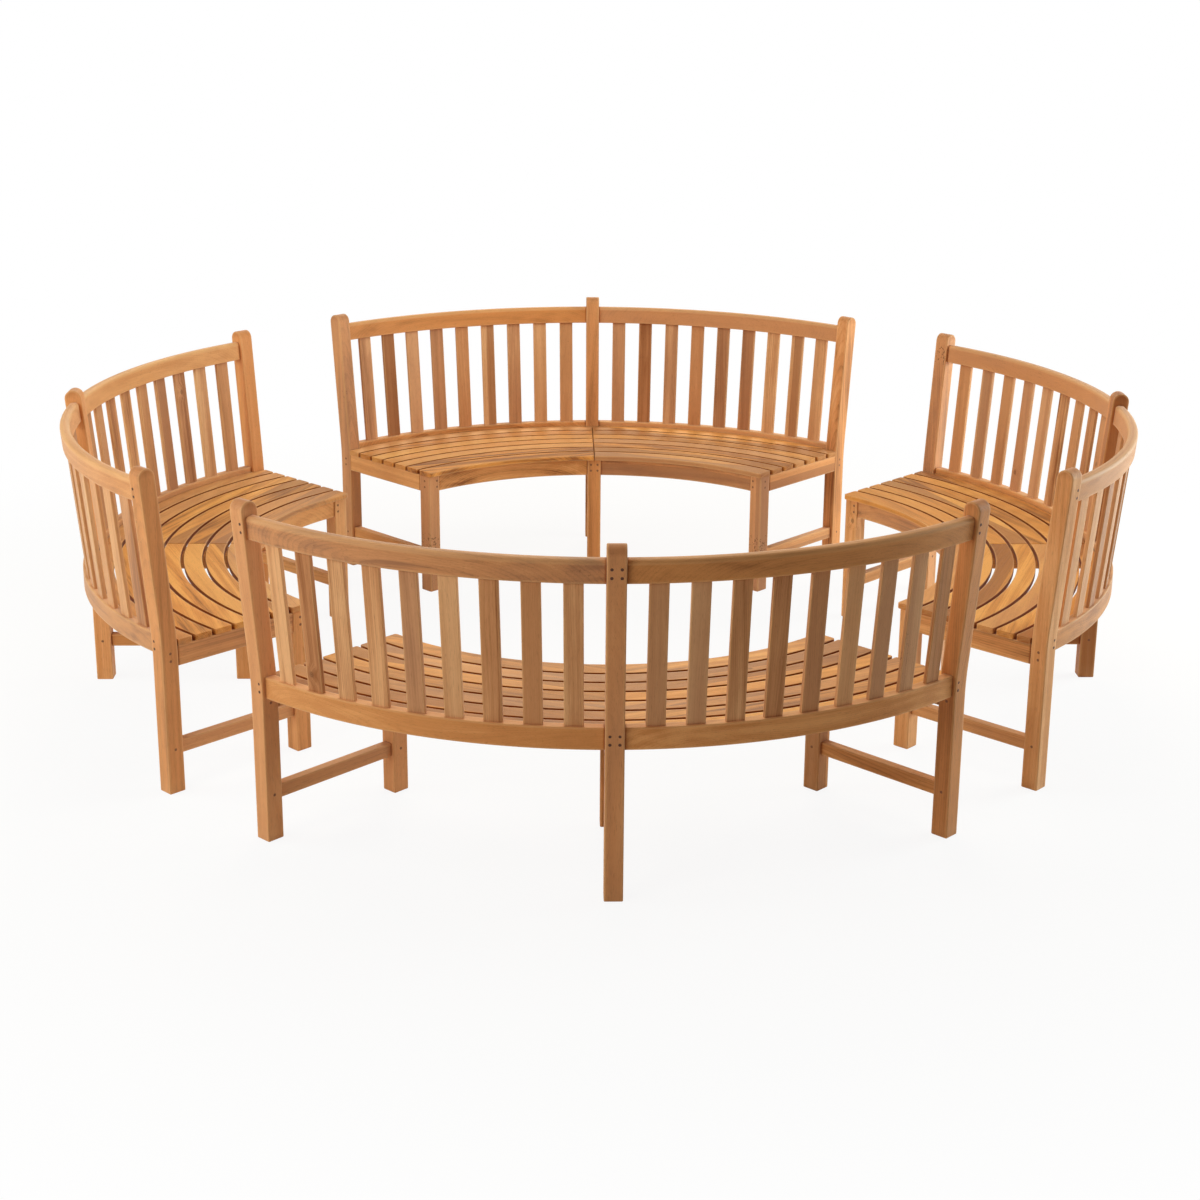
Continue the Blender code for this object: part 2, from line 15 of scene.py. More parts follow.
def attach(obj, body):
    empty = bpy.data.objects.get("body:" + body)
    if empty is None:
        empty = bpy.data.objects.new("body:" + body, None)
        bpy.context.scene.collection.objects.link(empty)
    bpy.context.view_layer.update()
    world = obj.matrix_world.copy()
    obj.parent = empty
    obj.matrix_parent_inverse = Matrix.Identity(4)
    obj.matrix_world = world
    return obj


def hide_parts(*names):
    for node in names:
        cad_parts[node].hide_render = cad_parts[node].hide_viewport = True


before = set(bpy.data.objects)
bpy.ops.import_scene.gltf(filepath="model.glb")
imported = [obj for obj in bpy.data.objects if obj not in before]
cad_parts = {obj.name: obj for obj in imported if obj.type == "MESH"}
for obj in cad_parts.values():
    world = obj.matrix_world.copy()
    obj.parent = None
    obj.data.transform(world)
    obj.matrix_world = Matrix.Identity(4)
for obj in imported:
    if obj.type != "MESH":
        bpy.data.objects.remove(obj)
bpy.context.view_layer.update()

# Board numbers, which the grain is drawn from: this seed's boards come near the photo's depths of colour
BOARD_SEED = 202435467
BOARD_NUMBER_LIMIT = 900
BOARD_NUMBER_STEP = 23

# Counts, sizes in metres and angles given in degrees, as in the part's source
BENCH_COUNT = 4
BAY = math.radians(44.3)
WALKWAY_WIDTH = 0.375
BACK_LEG_RADIUS = 1.272
FRAME_DEPTH = 0.4365
LEG_WIDTH = 0.048
LEG_DEPTH = 0.050
POST_HEIGHT = 0.928
LEAN = math.radians(5.0)
CRANK_START = 0.385
CRANK_LENGTH = 0.095
SEAT_HEIGHT = 0.440
SEAT_SLAT_COUNT = 7
SEAT_SLAT_THICKNESS = 0.017
SEAT_SLAT_GAP = 0.010
FRONT_SLAT_WIDTH = 0.064
FRONT_OVERHANG = 0.010
SLAT_END_OVERHANG = 0.002
SEAM_WIDTH = 0.003
SEAT_BACK_GAP = 0.0035
POST_NOTCH_GAP = 0.002
BEARER_HEIGHT = 0.058
STRETCHER_HEIGHT = 0.038
STRETCHER_THICKNESS = 0.028
STRETCHER_CLEAR_HEIGHT = 0.108
APRON_HEIGHT = 0.058
APRON_THICKNESS = 0.025
APRON_SETBACK = 0.005
TOP_RAIL_HEIGHT = 0.060
TOP_RAIL_THICKNESS = 0.030
TOP_RAIL_ROUNDING = 0.010
CREST_RISE = 0.036
LOWER_RAIL_HEIGHT = 0.058
LOWER_RAIL_THICKNESS = 0.030
LOWER_RAIL_RISE = 0.017
BACK_SLAT_COUNT = 9
BACK_SLAT_WIDTH = 0.048
BACK_SLAT_THICKNESS = 0.012
BACK_SLAT_HOUSING = 0.010
JOINT_GAP = 0.0003

# Finer sizes, shades and counts that only the dressed boards have
LEG_EASING = 0.003
RAIL_EASING = 0.0025
SLAT_EASING = 0.0015
BACK_SLAT_EASING = 0.0016
END_EASING = 0.0012
# Darkening beside the joints, partly the joints' own dark and partly painted shade
JOINT_SHADE_WIDTH = 0.005
JOINT_SHADE = 0.8
END_SHADE = 0.3
CREST_SHADE = 0.3
# Painted shade on the seat slats' sides in the gaps between them, fading out near their ends
GAP_SHADE = 1.0
# Painted shade on the bearers' tops, under the seat slats and seen through their gaps
BEARER_TOP_SHADE = 0.7
PAINTED_SHADE_FADE = 0.010
TOP_LIMIT = 0.0002
FOOT_EASING = 0.0025
SLAT_CORNER = 0.006
FRONT_CORNER = 0.009
SLAT_CORNER_STEPS = 5
NOTCH_MARK = 0.0001
MERGE_DISTANCE = 0.000001
EDGE_BAND = 0.004
BAND_SHARE = 0.8
LEAST_BAND = 0.0001
ROUNDING_LOSS = 0.5
LEAST_EASING = 0.0003
BAR_END_EASING = 0.0006
RAIL_END_EASING = 0.0008
SLAT_END_EASING = 0.0005
END_FACE = 0.4
FOOT_WEAR = 0.5
BAR_MARK = 0.12
SLAT_MARK = 0.16
STUMP_MARK = 0.15
FIRST_RING = 0.05
FOOT_RINGS = 6
CRANK_RINGS = 8
POST_RINGS = 10
CORNER_STEPS = 3
END_STEPS = 3
ROUND_STEPS = 5
CREST_STEPS = 10
BEND_STEPS = 28
PEG_RADIUS = 0.0040
PEG_TOP_RADIUS = PEG_RADIUS * 0.82
PEG_PROUD = 0.0004
PEG_SHOULDER = PEG_PROUD * 0.4
PEG_SUNK = 0.0012
PEG_SIDES = 14
PEG_RISE = 0.022
PEG_INSET = 0.012
PALE_PEG = 0.38

# Values that follow from the sizes
HALF_LEG = LEG_WIDTH / 2
HALF_DEPTH = LEG_DEPTH / 2
CRANK_RADIUS = CRANK_LENGTH / math.sin(LEAN)
CRANK_END = CRANK_START + CRANK_LENGTH
FRONT_LEG_RADIUS = BACK_LEG_RADIUS - FRAME_DEPTH
FRONT_LEG_FACE = FRONT_LEG_RADIUS - HALF_DEPTH
SEAT_UNDERSIDE = SEAT_HEIGHT - SEAT_SLAT_THICKNESS
UNDER_SEAT_TOP = SEAT_UNDERSIDE - JOINT_GAP
SEAT_FRONT_RADIUS = FRONT_LEG_FACE - FRONT_OVERHANG
LOWER_RAIL_TOP = SEAT_HEIGHT + LOWER_RAIL_RISE
LOWER_RAIL_MIDDLE = LOWER_RAIL_TOP - LOWER_RAIL_HEIGHT / 2
TOP_RAIL_MIDDLE = POST_HEIGHT - CREST_RISE - TOP_RAIL_HEIGHT / 2
BEARER_MIDDLE = SEAT_UNDERSIDE - BEARER_HEIGHT / 2
APRON_MIDDLE = UNDER_SEAT_TOP - APRON_HEIGHT / 2
APRON_RADIUS = FRONT_LEG_FACE + APRON_SETBACK + APRON_THICKNESS / 2
STRETCHER_MIDDLE = STRETCHER_CLEAR_HEIGHT + STRETCHER_HEIGHT / 2
LOWER_PEG_LEAN = LEAN * 0.3
FRONT_INNER_FACE = FRONT_LEG_RADIUS + HALF_DEPTH
BACK_INNER_FACE = BACK_LEG_RADIUS - HALF_DEPTH


def post_offset(height):
    """How far outwards the back leg's centre line lies at a height."""
    if height <= CRANK_START:
        return 0.0
    if height <= CRANK_END:
        return CRANK_RADIUS * (1 - math.cos(math.asin((height - CRANK_START) / CRANK_RADIUS)))
    return CRANK_RADIUS * (1 - math.cos(LEAN)) + (height - CRANK_END) * math.tan(LEAN)


LOWER_RAIL_RADIUS = BACK_LEG_RADIUS + post_offset(LOWER_RAIL_MIDDLE)
TOP_RAIL_RADIUS = BACK_LEG_RADIUS + post_offset(TOP_RAIL_MIDDLE)
SEAT_BACK_RADIUS = LOWER_RAIL_RADIUS - LOWER_RAIL_THICKNESS / 2 - SEAT_BACK_GAP
SPREAD = FRONT_LEG_FACE * (math.cos(BAY) - math.sin(BAY))
BENCH_SHIFT = WALKWAY_WIDTH / math.sqrt(2) - SPREAD + HALF_LEG * (math.cos(BAY) + math.sin(BAY))


# Node trees as expressions


class Wire:
    """A socket of a node tree. Arithmetic on it adds Math nodes."""

    def __init__(self, tree, socket):
        self.tree = tree
        self.socket = socket

    def math(self, operation, *others):
        values = dict(enumerate((self,) + others))
        return self.tree.add("ShaderNodeMath", {"operation": operation}, values)

    def __add__(self, other):
        return self.math("ADD", other)

    def __sub__(self, other):
        return self.math("SUBTRACT", other)

    def __rsub__(self, other):
        return self.tree.add("ShaderNodeMath", {"operation": "SUBTRACT"}, {0: other, 1: self})

    def __mul__(self, other):
        return self.math("MULTIPLY", other)

    def __truediv__(self, other):
        return self.math("DIVIDE", other)

    def __rtruediv__(self, other):
        return self.tree.add("ShaderNodeMath", {"operation": "DIVIDE"}, {0: other, 1: self})

    def __pow__(self, other):
        return self.math("POWER", other)

    __radd__ = __add__
    __rmul__ = __mul__


class NodeTree:
    """A shader or Geometry Nodes tree that is being wired."""

    def __init__(self, tree):
        self.tree = tree

    def add(self, kind, settings=None, values=None, take=0):
        """Add a node: settings first, then the values or links of its sockets; gives the outputs taken."""
        node = self.tree.nodes.new(kind)
        for name, value in (settings or {}).items():
            setattr(node, name, value)
        for key, value in (values or {}).items():
            if isinstance(value, Wire):
                self.tree.links.new(value.socket, node.inputs[key])
            else:
                node.inputs[key].default_value = value
        if isinstance(take, tuple):
            return [Wire(self, node.outputs[key]) for key in take]
        return Wire(self, node.outputs[take]) if len(node.outputs) else node

    def vector(self, x, y, z):
        return self.add("ShaderNodeCombineXYZ", None, {0: x, 1: y, 2: z})

    def parts(self, vector):
        return self.add("ShaderNodeSeparateXYZ", None, {0: vector}, (0, 1, 2))

    def blend(self, share, one, other, mode="MIX"):
        """Mix two colours by a share."""
        settings = {"data_type": "RGBA", "blend_type": mode}
        return self.add("ShaderNodeMix", settings, {0: share, 6: one, 7: other}, 2)

    def fade(self, value, low, high, start=0.0, end=1.0):
        """Ease a value from start at low to end at high, and hold it beyond."""
        settings = {"interpolation_type": "SMOOTHSTEP"}
        return self.add("ShaderNodeMapRange", settings, {0: value, 1: low, 2: high, 3: start, 4: end})


# Teak

GRAIN, BOARD, EDGE, END_STAIN_AND_SHADE = "grain", "board", "edge", "end"


def srgb(red, green, blue):
    """A colour written as it looks on a screen, 0 to 255, as the linear colour that shaders take."""
    linear = []
    for level in (red, green, blue):
        share = level / 255
        linear.append(share / 12.92 if share <= 0.04045 else ((share + 0.055) / 1.055) ** 2.4)
    return (*linear, 1.0)


# Colours that all boards share, and the pegs' own
DARK = srgb(148, 90, 46)
HEARTWOOD = srgb(158, 100, 58)
WEATHERED = srgb(198, 148, 112)
PORE = srgb(118, 72, 38)
KNOT = srgb(98, 56, 30)
SPECK = srgb(94, 55, 31)
# Dark brown of end grain and dark joints, also used as painted shade in the gaps and under the seat
END_GRAIN_JOINT_AND_SHADE = srgb(138, 63, 10)
# Paler colour of worn edges, raised into a painted highlight along them
WORN_EDGE_AND_HIGHLIGHT = srgb(236, 188, 130)
REDDENING = (1.0, 0.86, 0.76, 1.0)
PEG_DARK = srgb(70, 38, 22)
PEG_PALE = srgb(128, 78, 46)
PEG_RIM = srgb(48, 26, 15)
PEG_FRESH = srgb(158, 104, 64)

# How the grain and the pegs' ends are drawn, with lengths in metres
MEAN_DEPTH = 0.42
RINGS_A_METRE = 210.0
KNOT_FREE_SHARE = 0.92
KNOT_SPREAD = 0.55
KNOT_FLOW = 0.042
KNOT_CORE = 0.0045
KNOT_RIM = 0.0125
PITH_SPREAD = 0.16
PITH_DEPTH = 0.018
PITH_DEPTH_SPREAD = 0.075
GRAIN_RELIEF = 0.0005
DRYNESS = 0.25
PEG_SPECKLE = 900.0
PEG_RINGS = 2600.0
PEG_RELIEF = 0.0003


def teak(name, pale, middle, roughness, board_spread, joints=(), on_edge=False, dryness=DRYNESS):
    """Oiled teak: growth rings, streaks, fibres, pores and knots that run along each board.

    Boards differ in depth by the board spread. Joints are places along a leg with stains round them.
    A board on edge has its wide faces at its sides, and its knots run from one to the other.
    Dryness is how much paler a face looks where the view only grazes it.
    """
    material = bpy.data.materials.new(name)
    material.use_nodes = True
    material.node_tree.nodes.clear()
    nodes = NodeTree(material.node_tree)
    place = nodes.add("ShaderNodeAttribute", {"attribute_name": GRAIN}, None, 1)
    board = nodes.add("ShaderNodeAttribute", {"attribute_name": BOARD}, None, 2).math("ROUND")
    edge = nodes.add("ShaderNodeAttribute", {"attribute_name": EDGE}, None, 2)
    # How dark a point is from end grain, dark joints and painted shade
    end = nodes.add("ShaderNodeAttribute", {"attribute_name": END_STAIN_AND_SHADE}, None, 2)
    along, across, deep = nodes.parts(place)
    over_face = deep if on_edge else across

    def draws(shift):
        """Three numbers from 0 to 1 that stay the same over a board."""
        noise = nodes.add("ShaderNodeTexWhiteNoise", {"noise_dimensions": "1D"}, {"W": board + shift}, 1)
        return nodes.parts(noise)

    pith, tilt, tone = draws(0.37)
    turn, knot_place, knot_chance = draws(7.91)
    warmth, streakiness, shift = draws(15.13)

    def noise(x, y, z, detail, rough=0.5, salt=0.0, colour=False):
        """Noise in the board, at so many waves a metre along, across and into it."""
        spot = nodes.vector(along * x + shift * 41.0 + salt, sway * y + pith * 23.0, lift * z + tilt * 17.0)
        values = {"Vector": spot, "Scale": 1.0, "Detail": detail, "Roughness": rough}
        return nodes.add("ShaderNodeTexNoise", None, values, 1 if colour else 0)

    # A knot on some boards, which the grain flows round
    knot_along = along - (knot_place - 0.5) * KNOT_SPREAD
    knot_across = over_face - (turn - 0.5) * 0.02
    knot_reach = (knot_along * knot_along + knot_across * knot_across * 1.7) ** 0.5
    has_knot = nodes.fade(knot_chance, KNOT_FREE_SHARE, KNOT_FREE_SHARE + 0.005)
    knot_swell = nodes.fade(knot_reach, 0.0, KNOT_FLOW, 1.0, 0.0) * has_knot
    knot_rings = nodes.fade((knot_reach * 1500.0).math("SINE"), -1.0, 1.0, 0.4, 1.0)
    knot = nodes.fade(knot_reach, KNOT_CORE, KNOT_RIM, 1.0, 0.0) * knot_rings * has_knot

    # Growth rings round a pith beside the board, bent by slow noise
    sway, lift = across, deep
    bend_across, bend_deep, _ = nodes.parts(noise(1.3, 5.0, 5.0, 2.0, colour=True))
    sway = across + (bend_across - 0.5) * 0.03 + knot_swell * 0.009
    lift = deep + knot_swell * 0.009
    from_pith = across + (pith - 0.5) * PITH_SPREAD
    from_pith = from_pith + along * (tilt - 0.5) * 0.10 + (bend_across - 0.5) * 0.026
    under = deep + PITH_DEPTH + turn * PITH_DEPTH_SPREAD
    under = under + along * (warmth - 0.5) * 0.05 + (bend_deep - 0.5) * 0.020
    radius = (from_pith * from_pith + under * under) ** 0.5
    ring = radius * RINGS_A_METRE + knot_swell * 3.4 + noise(3.0, 60.0, 60.0, 2.0) * 0.7
    phase = ring.math("FRACT")
    late_wood = nodes.fade(phase, 0.45, 0.93) * nodes.fade(phase, 0.93, 1.0, 1.0, 0.0)
    bands = nodes.add(
        "ShaderNodeTexNoise",
        {"noise_dimensions": "1D"},
        {"W": ring * 0.31 + board * 3.7, "Scale": 1.0, "Detail": 2.0, "Roughness": 0.6},
    )

    streaks = noise(0.9, 42.0, 42.0, 3.0, 0.55)
    clouds = noise(3.2, 13.0, 13.0, 2.0, 0.5, 3.0)
    fibres = noise(16.0, 620.0, 620.0, 2.0, 0.6, 5.0)
    pores = nodes.fade(noise(42.0, 980.0, 980.0, 1.0, 0.5, 9.0), 0.60, 0.72)
    stripes = nodes.fade(noise(0.8, 30.0, 30.0, 2.0, 0.5, 13.0), 0.64, 0.76)
    mineral = stripes * nodes.fade(streakiness, 0.55, 0.85)

    # Depth of colour from 0, pale, to 1, dark: most boards are plain and a few are lively
    figure = (
        (streaks - 0.5) * 1.25
        + (bands - 0.5) * 0.75
        + (clouds - 0.5) * 1.1
        + late_wood * 0.16
        + (fibres - 0.5) * 0.45
    )
    liveliness = streakiness * streakiness * 0.95 + 0.5
    depth = figure * liveliness + (tone - 0.5) * board_spread + mineral * 0.5 + MEAN_DEPTH
    pale_side = nodes.fade(depth, 0.0, 0.5)
    dark_side = nodes.fade(depth, 0.45, 1.15)
    colour = nodes.blend(pale_side, pale, middle)
    colour = nodes.blend(dark_side, colour, DARK)
    heart_side = nodes.fade(over_face + (streaks - 0.5) * 0.02 - (pith - 0.7) * 0.1, -0.002, 0.002, 1.0, 0.0)
    heart_side = heart_side * nodes.fade(turn, 0.6, 0.65, 0.0, 0.65)
    colour = nodes.blend(heart_side, colour, HEARTWOOD)
    reddish = nodes.fade(warmth, 0.0, 1.0, 0.0, 0.45)
    colour = nodes.blend(reddish, colour, REDDENING, "MULTIPLY")
    weathered = nodes.fade(shift, 0.45, 0.9, 0.0, 0.4) * (clouds + 0.5)
    colour = nodes.blend(weathered, colour, WEATHERED)
    colour = nodes.blend(pores * 0.30, colour, PORE)
    colour = nodes.blend(knot * 0.75, colour, KNOT)

    # Small dark specks, sparse on the boards and close together at the joints of some legs
    clustered = nodes.fade(clouds, 0.60, 0.75, 0.0, 0.6)
    for joint in joints:
        beside = (along - joint).math("ABSOLUTE")
        stained = nodes.fade(turn, 0.6, 0.65) * nodes.fade(shift, 0.55, 0.7)
        clustered = clustered + nodes.fade(beside, 0.016, 0.050, 1.4, 0.0) * stained
    specks = nodes.fade(noise(115.0, 115.0, 115.0, 2.0, 0.6, 19.0) + clustered * 0.06, 0.66, 0.71) * clustered
    colour = nodes.blend((specks * 0.65).math("MINIMUM", 0.65), colour, SPECK)
    # Darker end grain and joints, and painted shade on the slats' sides in the gaps and on the bearers' tops
    colour = nodes.blend(end * 0.95, colour, END_GRAIN_JOINT_AND_SHADE)
    # Paler eased edges: edge wear with a painted highlight along them
    colour = nodes.blend(edge * 0.30, colour, WORN_EDGE_AND_HIGHLIGHT)

    sheen = roughness + (fibres - 0.5) * 0.16 + pores * 0.10 + end * 0.15 - late_wood * 0.05
    relief = fibres * 0.55 - pores * 0.9 + late_wood * 0.45 - knot * 0.8
    bump = nodes.add("ShaderNodeBump", None, {"Height": relief, "Strength": 0.35, "Distance": GRAIN_RELIEF})
    values = {"Base Color": colour, "Roughness": sheen, "Normal": bump, "Specular IOR Level": 0.15}
    values.update({"Sheen Weight": dryness, "Sheen Roughness": 0.4})
    shader = nodes.add("ShaderNodeBsdfPrincipled", None, values)
    nodes.add("ShaderNodeOutputMaterial", None, {"Surface": shader})
    return material


def peg_wood():
    """The dark end grain of a peg, with rings round its middle."""
    material = bpy.data.materials.new("peg_teak")
    material.use_nodes = True
    material.node_tree.nodes.clear()
    nodes = NodeTree(material.node_tree)
    place = nodes.add("ShaderNodeAttribute", {"attribute_name": GRAIN}, None, 1)
    board = nodes.add("ShaderNodeAttribute", {"attribute_name": BOARD}, None, 2)
    stained = nodes.add("ShaderNodeAttribute", {"attribute_name": END_STAIN_AND_SHADE}, None, 2)
    _, across, up = nodes.parts(place)
    reach = (across * across + up * up) ** 0.5
    values = {"Vector": place, "W": board, "Scale": PEG_SPECKLE}
    speck = nodes.add("ShaderNodeTexNoise", {"noise_dimensions": "4D"}, values)
    rings = (reach * PEG_RINGS).math("SINE") * 0.18 + speck * 0.7
    colour = nodes.blend(nodes.fade(rings, 0.1, 0.9), PEG_DARK, PEG_PALE)
    colour = nodes.blend(nodes.fade(reach, PEG_RADIUS * 0.8, PEG_RADIUS), colour, PEG_RIM)
    colour = nodes.blend(stained, PEG_FRESH, colour)
    bump = nodes.add("ShaderNodeBump", None, {"Height": rings, "Strength": 0.4, "Distance": PEG_RELIEF})
    values = {"Base Color": colour, "Roughness": 0.62 + speck * 0.12, "Normal": bump}
    shader = nodes.add("ShaderNodeBsdfPrincipled", None, values)
    nodes.add("ShaderNodeOutputMaterial", None, {"Surface": shader})
    return material


# Where the rails' pegs sit along a back leg, from its middle. The front legs share the leg finish
PEG_PLACES = (TOP_RAIL_MIDDLE - POST_HEIGHT / 2, LOWER_RAIL_MIDDLE - POST_HEIGHT / 2)
TEAK = {
    "leg_teak": teak("leg_teak", srgb(243, 183, 124), srgb(223, 155, 95), 0.56, 0.40, PEG_PLACES),
    "rail_teak": teak("rail_teak", srgb(237, 174, 110), srgb(216, 148, 86), 0.54, 0.45, on_edge=True),
    "back_teak": teak("back_teak", srgb(232, 180, 128), srgb(206, 148, 99), 0.56, 0.65),
    "seat_teak": teak("seat_teak", srgb(247, 182, 97), srgb(225, 154, 76), 0.50, 0.7, dryness=0.08),
    "peg_teak": peg_wood(),
}


# Boards as points and faces


class Board:
    """Points and faces of boards, with each point's place in the grain, board number, edge, and how much end
    grain, dark joints, stain and painted shade darken it.
    """

    def __init__(self, points, faces, grain, board, edge, end, flat):
        self.points = np.asarray(points, float)
        self.faces = faces
        self.grain = np.asarray(grain, float)
        self.board = np.asarray(board, float)
        self.edge = np.asarray(edge, float)
        self.end = np.asarray(end, float)
        self.flat = flat

    def placed(self, matrix, number=None):
        """The same boards moved by a matrix, with a new board number if one is given."""
        turned = np.array(matrix)
        points = self.points @ turned[:3, :3].T + turned[:3, 3]
        board = self.board if number is None else self.board * 0 + number
        return Board(points, self.faces, self.grain, board, self.edge, self.end, self.flat)

    def numbered(self, shift):
        """The same boards with their numbers moved on, so that each bench's grain differs."""
        return Board(self.points, self.faces, self.grain, self.board + shift, self.edge, self.end, self.flat)


def joined(boards):
    """Several boards as one."""
    faces, flat, start = [], [], 0
    for board in boards:
        faces += [tuple(start + corner for corner in face) for face in board.faces]
        flat += board.flat
        start += len(board.points)
    stacked = [np.concatenate([getattr(board, name) for board in boards]) for name in ("points", "grain")]
    values = [np.concatenate([getattr(board, name) for board in boards]) for name in ("board", "edge", "end")]
    return Board(stacked[0], faces, stacked[1], *values, flat)


def ring_of(low, high, easing, top_easing=None):
    """Points round a board's section between two corners, its edges rounded, and which lie on an edge."""
    (left, under), (right, over) = low, high
    top_easing = easing if top_easing is None else top_easing
    corners = [
        (right, over, 0, top_easing),
        (left, over, 1, top_easing),
        (left, under, 2, easing),
        (right, under, 3, easing),
    ]
    points, on_edge = [], []
    for across, up, quarter, rounding in corners:
        steps = ROUND_STEPS if rounding > 2 * RAIL_EASING else CORNER_STEPS
        inward = (-1 if across == right else 1, -1 if up == over else 1)
        room = (min(right - left, over - under) / 2 - rounding) * BAND_SHARE
        band = min(EDGE_BAND, max(room, LEAST_BAND))
        centre = (across + inward[0] * rounding, up + inward[1] * rounding)
        arc = []
        for step in range(steps + 1):
            angle = (quarter + step / steps) * math.pi / 2
            arc.append((centre[0] + rounding * math.cos(angle), centre[1] + rounding * math.sin(angle)))
        sideways, upright = (inward[0] * band, 0.0), (0.0, inward[1] * band)
        before, after = (upright, sideways) if quarter % 2 == 0 else (sideways, upright)
        first = (arc[0][0] + before[0], arc[0][1] + before[1])
        last = (arc[-1][0] + after[0], arc[-1][1] + after[1])
        points += [first] + arc + [last]
        on_edge += [0.0] + [1.0] * len(arc) + [0.0]
    return points, on_edge


def lofted(rings, edges, ends, capped=(True, True)):
    """A closed board from rings of points, with flat faces over its two ends."""
    count = len(rings[0])
    points = [point for ring in rings for point in ring]
    faces, flat = [], []
    for start in range(0, (len(rings) - 1) * count, count):
        for corner in range(count):
            beside = (corner + 1) % count
            faces.append((start + corner, start + beside, start + count + beside, start + count + corner))
            flat.append(False)
    if capped[0]:
        faces.append(tuple(range(count - 1, -1, -1)))
        flat.append(True)
    if capped[1]:
        last = (len(rings) - 1) * count
        faces.append(tuple(range(last, last + count)))
        flat.append(True)
    edge = [level for ring in edges for level in ring]
    end = [level for ring in ends for level in ring]
    return Board(points, faces, points, [0.0] * len(points), edge, end, flat)


def end_insets(easing):
    """How far in from a board's end, and how far in from its sides, the rings of a rounded end lie."""
    insets = []
    for step in range(END_STEPS + 1):
        angle = step / END_STEPS * math.pi / 2
        insets.append((easing * (1 - math.sin(angle)), easing * (1 - math.cos(angle))))
    return insets[::-1]


def straight_board(
    length,
    low,
    high,
    easing,
    end_easing,
    top_easing=None,
    stations=(),
    shape=None,
    painted_shade=(0, 0, 0),
    joint=JOINT_SHADE,
):
    """A board along X, centred on it, with eased edges and ends.

    Stations are the places along it with rings of their own. Shape gives a ring's corners there. Its
    three shade levels paint shade on its left side, right side and top, and joint says how dark it is
    beside its ends, partly the joint's own dark and partly painted shade.
    """
    half = length / 2
    shape_given = shape is not None
    shape = shape or (lambda place: (low, high))
    insets = end_insets(end_easing)
    marks = [(-half + back, inset) for back, inset in insets]
    shaded = end_easing + JOINT_SHADE_WIDTH
    stations = [place for place in stations if abs(place) < half - shaded - JOINT_GAP or shape_given]
    middle = [(place, 0.0) for place in sorted({*stations, shaded - half, half - shaded})]
    middle = [(place, inset) for place, inset in middle if abs(place) < half - end_easing - JOINT_GAP]
    marks = sorted(marks + middle + [(half - back, inset) for back, inset in insets])
    rings, edges, ends = [], [], []
    for place, inset in marks:
        (left, under), (right, over) = shape(place)
        smaller = (left + inset, under + inset), (right - inset, over - inset)
        rounding = max(easing - inset * ROUNDING_LOSS, LEAST_EASING)
        top = None if top_easing is None else max(top_easing - inset * ROUNDING_LOSS, LEAST_EASING)
        ring, on_edge = ring_of(*smaller, rounding, top)
        rings.append([(place, across, up) for across, up in ring])
        from_end = half - abs(place)
        # Beside a joint the board darkens: partly the joint's own dark and partly painted shade
        beside_joint = joint * max(1.0 - from_end / JOINT_SHADE_WIDTH, 0.0)
        at_end = END_SHADE if from_end < end_easing * END_FACE else beside_joint
        middle_line = (left + right) / 2
        levels = []
        # Painted shade on the given sides below the top rounding, fading out near the ends, and on the top
        # face
        for across, up in ring:
            below = min((over - up) / easing, 1.0) * min(from_end / PAINTED_SHADE_FADE, 1.0)
            level = below * painted_shade[0 if across < middle_line else 1]
            levels.append(max(at_end, level, painted_shade[2] if over - inset - up < TOP_LIMIT else 0.0))
        ends.append(levels)
        edges.append([level * (1.0 - dark) for level, dark in zip(on_edge, levels)])
    return lofted(rings, edges, ends)


def spread(start, stop, count):
    """Evenly spread numbers, both ends included."""
    return [start + (stop - start) * step / count for step in range(count + 1)]


# Geometry Nodes that bend boards and set out slats and pegs


def new_group(name, inputs):
    """A Geometry Nodes group with named inputs, and wires for them."""
    group = bpy.data.node_groups.new(name, "GeometryNodeTree")
    group.interface.new_socket("Geometry", in_out="INPUT", socket_type="NodeSocketGeometry")
    for label, kind in inputs.items():
        group.interface.new_socket(label, in_out="INPUT", socket_type=kind)
    group.interface.new_socket("Geometry", in_out="OUTPUT", socket_type="NodeSocketGeometry")
    nodes = NodeTree(group)
    wires = nodes.add("NodeGroupInput", None, None, tuple(range(len(inputs) + 1)))
    return group, nodes, dict(zip(["Geometry", *inputs], wires))


def finish_group(nodes, geometry, material):
    """Make instances real, set the finish and wire the group's output."""
    real = nodes.add("GeometryNodeRealizeInstances", None, {"Geometry": geometry})
    dressed = nodes.add("GeometryNodeSetMaterial", None, {"Geometry": real, "Material": material})
    nodes.add("NodeGroupOutput", None, {0: dressed})


def stored(nodes, geometry, name, kind, value, domain="POINT"):
    """Keep a value on the geometry under a name."""
    settings = {"data_type": kind, "domain": domain}
    values = {"Geometry": geometry, "Name": name, "Value": value}
    return nodes.add("GeometryNodeStoreNamedAttribute", settings, values)


